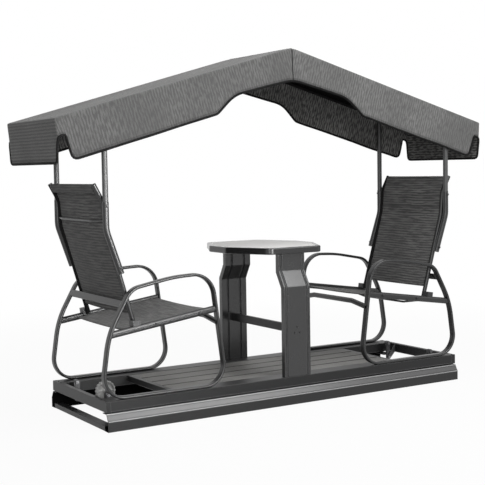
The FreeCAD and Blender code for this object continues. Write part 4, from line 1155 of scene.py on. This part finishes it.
# Turned hem to stitch line, at the cloth's start and at its end.
START_SEAM, END_SEAM = 0.035, 0.030
SLING_THREAD_LIFT = 0.0006
# Creases fade over one part in six at either end; their turns per metre, bow and lean.
CREASE_FADE = 6.0
FOLD_TURN, FOLD_BOW = 58.0, 7.0
DRIFT_TURN, DRIFT_LEAN = 13.0, 9.0
RIPPLE_TURN, RIPPLE_LEAN, RIPPLE_SHARE = 131.0, 11.0, 0.5


def creases(run, y, start):
    """Shallow slanting creases of a stretched cloth, as shares of their height."""
    bow = math.sin(run * FOLD_TURN + FOLD_BOW * y * y)
    fold = bow * math.sin(run * DRIFT_TURN + DRIFT_LEAN * y + start)
    ripple = RIPPLE_SHARE * math.sin(run * RIPPLE_TURN + RIPPLE_LEAN * abs(y))
    return fold + ripple * fold


class SWING_OT_slings(bpy.types.Operator):
    """Weave the seat and back slings, with turned hems and stitches"""

    bl_idname = "swing.slings"
    bl_label = "Slings"

    def execute(self, context):
        look = context.scene.swing_slings
        yarns = Weave(look.light, look.dark, look.stripe_pitch, look.fleck, look.evenness, look.yarn)
        seat_mesh = striped_cloth("seat_mesh", yarns, under=look.underside)
        back_mesh = striped_cloth("back_mesh", yarns, bar_run=look.bar_run, under=look.underside)
        thread = moulded_finish("sling_thread", look.dark, roughness=0.75, grain_scale=900.0)
        stitches = stitch_pattern()
        slings = {
            "seat_sling": Sling(
                seat_path(look.hem), look.seat_half, look.seat_sag, SEAT_DISH, seat_mesh, ["seat_rails"]
            ),
            "back_sling": Sling(
                back_path(look.hem), look.back_half, look.back_sag, BACK_DISH, back_mesh,
                ["back_rails", "cross_tubes"],
            ),
        }
        for side in (LEFT, RIGHT):
            chair = f"chair_{SIDE_NAMES[side]}"
            for kind, sling in slings.items():
                name = f"{chair}_{kind}"
                mesh, seams = self.sheet(name, sling, side, look)
                mesh.materials.append(sling.finish)
                cloth = walled(new_object(f"{name}_cloth", mesh), look.thickness)
                sewn = stitches.run(
                    f"{name}_stitches", guide_line("hem_line", seams), thread,
                    Spacing=look.stitch_spacing, Length=look.stitch_length, Thread=look.thread,
                )
                placed(sewn, CARRIAGE, "sling_cloth")
                placed(cloth, CARRIAGE, "sling_cloth", name)
                line, _ = sling.path
                2 * sling.half
                float(run_lengths(line)[-1])
                [f"{chair}_{carrier}" for carrier in sling.carriers]
        return {"FINISHED"}

    @staticmethod
    def sheet(name, sling, side, look):
        """One sling between its rails, dished and lightly creased, and its stitch lines."""
        line, under = sling.path
        lengths = run_lengths(line)
        whole = lengths[-1]
        stations = np.linspace(0.0, whole, len(sling.dish))
        ys = np.linspace(-sling.half, sling.half, SLING_COLUMNS)
        grid = ClothGrid()
        numbers, flats = [], []
        for point, run in zip(line, lengths):
            depth = sling.sag * float(np.interp(run, stations, sling.dish))
            ends = min(1.0, CREASE_FADE * run / whole, CREASE_FADE * (whole - run) / whole)
            row = []
            for y in ys:
                across = 1 - (y / sling.half) ** 2
                dip = depth * across + look.crease * ends * across * creases(run, y, side)
                spot_at = point + under * dip
                row.append(grid.point((side * spot_at.x, y, spot_at.y), FAR_FROM_HEM))
            numbers.append(row)
            flats.append([(run, y) for y in ys])
        grid.weave_in(numbers, flats, side == LEFT)
        lift = -SLING_THREAD_LIFT * under
        rise = Vector((side * lift.x, 0.0, lift.y))
        seams = []
        for place in (look.hem + START_SEAM, whole - look.hem - END_SEAM):
            near = int(np.argmin(np.abs(lengths - place)))
            seams.append([Vector(grid.points[number]) + rise for number in numbers[near][1:-1]])
        return grid.mesh(name), seams


BOARD_TOP = 0.0005
RIB_SIDE_MARGIN = 0.012
RIB_END_MARGIN = 0.008


class SWING_OT_metalwork(bpy.types.Operator):
    """Give every solid its finish, and rib the deck boards"""

    bl_idname = "swing.metalwork"
    bl_label = "Metalwork and deck"

    def execute(self, context):
        look = context.scene.swing_metal
        deck = deck_finish(look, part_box("deck_slats")[1].z)
        backing = moulded_finish("cloth_backing", look.rubber, roughness=0.80, grain_scale=500.0)
        finishes = {
            "extrusion": powder_coat("extrusion_coat", look, roughness=0.42, gloss=0.30),
            "deck": deck,
            "tube": powder_coat("tube_coat", look, roughness=0.34),
            "steel_plate": plate_finish("steel_plate", look.steel, metallic=0.55, roughness=0.46),
            "fastener": plate_finish("black_zinc", look.black_zinc, metallic=0.30, roughness=0.40),
            "bumper": moulded_finish("bumper_rubber", look.rubber, roughness=0.80, grain_scale=500.0),
            "hand_wheel": moulded_finish("wheel_plastic", look.wheel, roughness=0.50, grain_scale=700.0),
            "table_rim": powder_coat("rim_coat", look, roughness=0.20, gloss=0.60),
            "table_glass": glass_finish(look),
            "sling_cloth": backing,
            "canopy_cloth": backing,
        }
        zinc = plate_finish("zinc", look.zinc, metallic=0.90, roughness=0.38)
        # The back rails' faces turned to the middle take a matt near-black tone.
        back_rail = powder_coat("back_rail_coat", look, roughness=0.34, inside=look.rubber)
        # The fascias' faces turned to the middle take the painted shade tone, matt.
        fascia = powder_coat(
            "fascia_coat", look, roughness=0.34, gloss=0.42, inside=look.painted_shade_tone, sloping=True
        )
        leg = powder_coat("leg_coat", look, roughness=0.24, gloss=0.72, ease=0.007)
        post = powder_coat("post_coat", look, roughness=0.55, gloss=0.90)
        # The rafters and cross bars take a matt near-black finish: painted shade for where they sit under the
        # roof.
        rafter_shade = moulded_finish("rafter_coat", look.painted_shade_tone, roughness=0.80, grain_scale=700.0, gloss=0.10)
        own = {
            "upper_pivot_bolts": zinc,
            "lower_pivot_pins": zinc,
            "lock_spindle": zinc,
            "chair_left_back_rails": back_rail,
            "chair_right_back_rails": back_rail,
            "base_fascia_front": fascia,
            "base_fascia_rear": fascia,
            "table_leg_front": leg,
            "table_leg_rear": leg,
            "canopy_posts_left": post,
            "canopy_posts_right": post,
            "canopy_rafters": rafter_shade,
            "canopy_cross_bars": rafter_shade,
        }
        for row in frame["record"]["subparts"]:
            node = frame["nodes"][row["node"]]
            node.data.materials.clear()
            node.data.materials.append(own.get(row["node"], finishes[row["material_slot"]]))
        self.ribs(look, deck)
        return {"FINISHED"}

    @staticmethod
    def ribs(look, deck):
        """Fine ribs along each deck board's top."""
        low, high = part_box("deck_slats")
        corners = frame["nodes"]["deck_slats"].data.vertices
        edges = sorted({round(corner.co.y, 4) for corner in corners if corner.co.z > high.z - BOARD_TOP})
        spots = []
        for start, end in zip(edges[::2], edges[1::2]):
            ribs = int((end - start - RIB_SIDE_MARGIN) / look.rib_pitch) + 1
            first = (start + end - (ribs - 1) * look.rib_pitch) / 2
            spots += [((0.0, first + n * look.rib_pitch, high.z), UP) for n in range(ribs)]
        size = (high.x - low.x - RIB_END_MARGIN, look.rib_width, 2 * look.rib_height)
        piece = rib_pattern().run("deck_ribs", guide_points("rib_places", spots), deck, Size=size)
        placed(piece, CARRIAGE, "deck")


# Runs are measured along the swing from its middle, reaches out to the front or the rear.
SEAT_BOLT_RUNS = (0.611, 0.867)
SEAT_BOLT_REACH = 0.3470
# Run and height of each post's bolts.
POST_BOLTS = ((1.1200, 1.125), (1.0520, 0.809))
POST_BOLT_REACH = 0.3352
SCREW_RUN, SCREW_HEIGHT = 1.147, 0.150
SCREW_REACHES = (0.335, 0.300, 0.268)
HEAD_CREASE = math.radians(32)


class SWING_OT_fittings(bpy.types.Operator):
    """Set the bolt and screw heads"""

    bl_idname = "swing.fittings"
    bl_label = "Bolts and screws"

    def execute(self, context):
        look = context.scene.swing_fittings
        black_zinc = bpy.data.materials["black_zinc"]
        bolts, screws = [], []
        for side in (LEFT, RIGHT):
            for flank in (FRONT, REAR):
                outward = (0.0, flank, 0.0)
                places = [(run, SEAT_BOLT_REACH, seat_point(run).y) for run in SEAT_BOLT_RUNS]
                places += [(run, POST_BOLT_REACH, height) for run, height in POST_BOLTS]
                bolts += [((side * x, flank * y, z), outward) for x, y, z in places]
                screws += [((side * SCREW_RUN, flank * y, SCREW_HEIGHT), UP) for y in SCREW_REACHES]
        heads = bolt_pattern()
        for name, spots, radius in (
            ("bolt_heads", bolts, look.bolt_radius),
            ("corner_screws", screws, look.screw_radius),
        ):
            piece = heads.run(name, guide_points(f"{name}_places", spots), black_zinc, Radius=radius)
            piece.data.shade_smooth()
            piece.data.set_sharp_from_angle(angle=HEAD_CREASE)
            placed(piece, CARRIAGE, "fastener")
        return {"FINISHED"}


# Rings of the lock wheel from its outer face to its inner one: reach, height and grip, as shares of
# the radius, the half thickness and the flute depth.
WHEEL_RINGS = (
    (0.0, 0.62, 0), (0.16, 0.66, 0), (0.24, 0.60, 0), (0.28, 0.30, 0), (0.34, 0.22, 0), (0.66, 0.24, 0),
    (0.74, 0.34, 0), (0.80, 0.78, 0), (0.86, 0.96, 0), (0.93, 1.0, 0.5), (0.985, 0.86, 1), (1.0, 0.60, 1),
    (1.0, -0.60, 1), (0.985, -0.86, 1), (0.93, -1.0, 0.5), (0.80, -1.0, 0), (0.30, -0.92, 0),
    (0.0, -0.92, 0),
)
LEAST_REACH = 0.0002
FLUTE_STEPS = 8
SPOKE_START, SPOKE_END = 0.26, 0.78
SPOKE_RISE, SPOKE_SHARPNESS = 0.30, 8
WHEEL_CREASE = math.radians(40)


class SWING_OT_lock_wheel(bpy.types.Operator):
    """Mould the lock's hand wheel"""

    bl_idname = "swing.lock_wheel"
    bl_label = "Lock wheel"

    def execute(self, context):
        look = context.scene.swing_fittings
        low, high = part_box("lock_wheel")
        middle = (low + high) / 2
        radius, half = (high.x - low.x) / 2, (high.y - low.y) / 2
        turns = look.flutes * FLUTE_STEPS
        points, faces = [], []
        for out, along, grip in WHEEL_RINGS:
            spoked = SPOKE_START < out < SPOKE_END and along > 0
            for step in range(turns):
                angle = 2 * math.pi * step / turns
                wave = 0.5 - 0.5 * math.cos(angle * look.flutes)
                reach = max(out * radius - grip * look.flute_depth * wave ** 2, LEAST_REACH)
                spoke = max(0.0, math.cos(angle * look.spokes)) ** SPOKE_SHARPNESS if spoked else 0.0
                points.append((
                    middle.x + reach * math.cos(angle),
                    middle.y - half * (along + SPOKE_RISE * spoke),
                    middle.z + reach * math.sin(angle),
                ))
        last = (len(WHEEL_RINGS) - 1) * turns
        for first in range(0, last, turns):
            for step in range(turns):
                after = (step + 1) % turns
                faces.append((first + step, first + after, first + turns + after, first + turns + step))
        faces.append(tuple(reversed(range(turns))))
        faces.append(tuple(range(last, last + turns)))
        mesh = bpy.data.meshes.new("lock_hand_wheel")
        mesh.from_pydata(points, [], faces)
        mesh.shade_smooth()
        mesh.set_sharp_from_angle(angle=WHEEL_CREASE)
        mesh.materials.append(bpy.data.materials["wheel_plastic"])
        placed(new_object("lock_hand_wheel", mesh), "lock", "hand_wheel", "lock_wheel")
        return {"FINISHED"}


def seen_rays(board):
    """One for a ray from the camera, off gloss or through glass, else nothing."""
    kinds = ("Camera", "Glossy", "Transmission")
    camera, gloss, glass = (board.add("ShaderNodeLightPath", output=f"Is {kind} Ray") for kind in kinds)
    return camera.most(gloss).most(glass)


Lamp = namedtuple("Lamp", "place aim spans")
LAMPS = {
    "key": Lamp((-4.2, -6.0, 2.2), aim=(-0.2, 0.0, 1.0), spans=(2.6, 3.6)),
    "sheen": Lamp((1.4, -3.0, 3.2), aim=(-0.3, -0.3, 0.4), spans=(2.4, 2.1)),
    "fill": Lamp((4.6, -3.8, 2.6), aim=(0.0, 0.0, 0.9), spans=(3.0, 3.0)),
    "top": Lamp((0.3, -0.6, 4.8), aim=(0.0, 0.0, 0.9), spans=(4.4, 3.0)),
    "strip": Lamp((-0.5, -3.5, 1.4), aim=(-1.6, -0.3, 1.2), spans=(2.0, 1.8)),
}
FLOOR_REACH = 30.0
GLOW_START, GLOW_FULL = 2.0, 5.0


class SWING_OT_stage(bpy.types.Operator):
    """Lay the floor, set the lamps and the camera"""

    bl_idname = "swing.stage"
    bl_label = "Stage"

    def execute(self, context):
        look = context.scene.swing_stage
        self.floor(look)
        self.sky(context, look)
        lamps = {name: self.hang(name, lamp, getattr(look, name)) for name, lamp in LAMPS.items()}
        lamps["strip"].data.spread = look.strip_spread
        lamps["strip"].visible_diffuse = False
        self.camera(context, look)
        context.scene.view_settings.view_transform = "Standard"
        return {"FINISHED"}

    @staticmethod
    def floor(look):
        """A wide floor that takes the swing's shadow and is lifted to white where it is seen."""
        mesh = bpy.data.meshes.new("floor")
        turns = ((-1, -1), (1, -1), (1, 1), (-1, 1))
        mesh.from_pydata([(x * FLOOR_REACH, y * FLOOR_REACH, 0.0) for x, y in turns], [], [(0, 1, 2, 3)])
        paint = Finish("floor_paint")
        place = paint.place()
        speck = paint.mix(paint.noise(place, scale=3.0), scaled(look.floor, 0.99), look.floor)
        diffuse = paint.add("ShaderNodeBsdfDiffuse", {}, {"Color": speck})
        glow = paint.add("ShaderNodeEmission", {}, {"Color": WHITE, "Strength": 1.0})
        away = paint.add("ShaderNodeVectorMath", {"operation": "LENGTH"}, {0: place}, output="Value")
        lifted = look.glow + (1 - look.glow) * paint.eased(away, GLOW_START, GLOW_FULL)
        inputs = {0: seen_rays(paint) * lifted, 1: diffuse, 2: glow}
        mixed = paint.add("ShaderNodeMixShader", {}, inputs)
        paint.add("ShaderNodeOutputMaterial", {}, {"Surface": mixed})
        mesh.materials.append(paint.material)
        new_object("floor", mesh)

    @staticmethod
    def sky(context, look):
        """Even light from all round, with a white background."""
        world = bpy.data.worlds.new("studio")
        world.use_nodes = True
        board = Board(world.node_tree)
        board.tree.nodes.clear()
        strength = look.sky + (1 - look.sky) * seen_rays(board)
        light = board.add("ShaderNodeBackground", {}, {"Color": WHITE, "Strength": strength})
        board.add("ShaderNodeOutputWorld", {}, {"Surface": light})
        context.scene.world = world

    @staticmethod
    def hang(name, lamp, power):
        """A soft rectangular lamp that faces its aim."""
        light = bpy.data.lights.new(f"{name}_lamp", "AREA")
        light.shape = "RECTANGLE"
        light.size, light.size_y = lamp.spans
        light.energy = power
        hung = new_object(f"{name}_lamp", light)
        hung.location = lamp.place
        way = Vector(lamp.aim) - Vector(lamp.place)
        hung.rotation_euler = way.to_track_quat("-Z", "Y").to_euler()
        return hung

    @staticmethod
    def camera(context, look):
        """The camera, turned, tilted and leaning as its settings say."""
        forward = Vector((
            math.sin(look.yaw) * math.cos(look.pitch),
            math.cos(look.yaw) * math.cos(look.pitch),
            math.sin(look.pitch),
        ))
        level_right = Vector((math.cos(look.yaw), -math.sin(look.yaw), 0.0))
        level_up = level_right.cross(forward)
        right = level_right * math.cos(look.roll) + level_up * math.sin(look.roll)
        up = level_up * math.cos(look.roll) - level_right * math.sin(look.roll)
        lens = bpy.data.cameras.new("camera")
        lens.sensor_width = look.sensor
        lens.lens = look.lens
        lens.shift_x, lens.shift_y = look.shift_x, look.shift_y
        camera = new_object("camera", lens)
        turn = Matrix((right, up, -forward)).transposed().to_4x4()
        camera.matrix_world = Matrix.Translation(look.camera) @ turn
        context.scene.camera = camera


class SWING_PT_sidebar(bpy.types.Panel):
    """The swing's operators and sizes"""

    bl_idname = "SWING_PT_sidebar"
    bl_label = "Garden swing"
    bl_space_type = "VIEW_3D"
    bl_region_type = "UI"
    bl_category = "Swing"

    def draw(self, context):
        for operator in OPERATORS:
            self.layout.operator(operator.bl_idname)
        for name, group in GROUPS.items():
            box = self.layout.box()
            for field in group.__annotations__:
                box.prop(getattr(context.scene, name), field)


GROUPS = {
    "swing_canopy": CanopyLook,
    "swing_slings": SlingLook,
    "swing_metal": MetalLook,
    "swing_fittings": FittingLook,
    "swing_stage": StageLook,
}
OPERATORS = (
    SWING_OT_stage,
    SWING_OT_metalwork,
    SWING_OT_canopy,
    SWING_OT_slings,
    SWING_OT_fittings,
    SWING_OT_lock_wheel,
)


def register():
    for kind in (*GROUPS.values(), *OPERATORS, SWING_PT_sidebar):
        bpy.utils.register_class(kind)
    for name, group in GROUPS.items():
        setattr(bpy.types.Scene, name, PointerProperty(type=group))


def unregister():
    for name in GROUPS:
        delattr(bpy.types.Scene, name)
    for kind in (SWING_PT_sidebar, *OPERATORS, *GROUPS.values()):
        bpy.utils.unregister_class(kind)


def main():
    register()
    for operator in OPERATORS:
        family, name = operator.bl_idname.split(".")
        getattr(getattr(bpy.ops, family), name)()


if __name__ == "__main__":
    main()
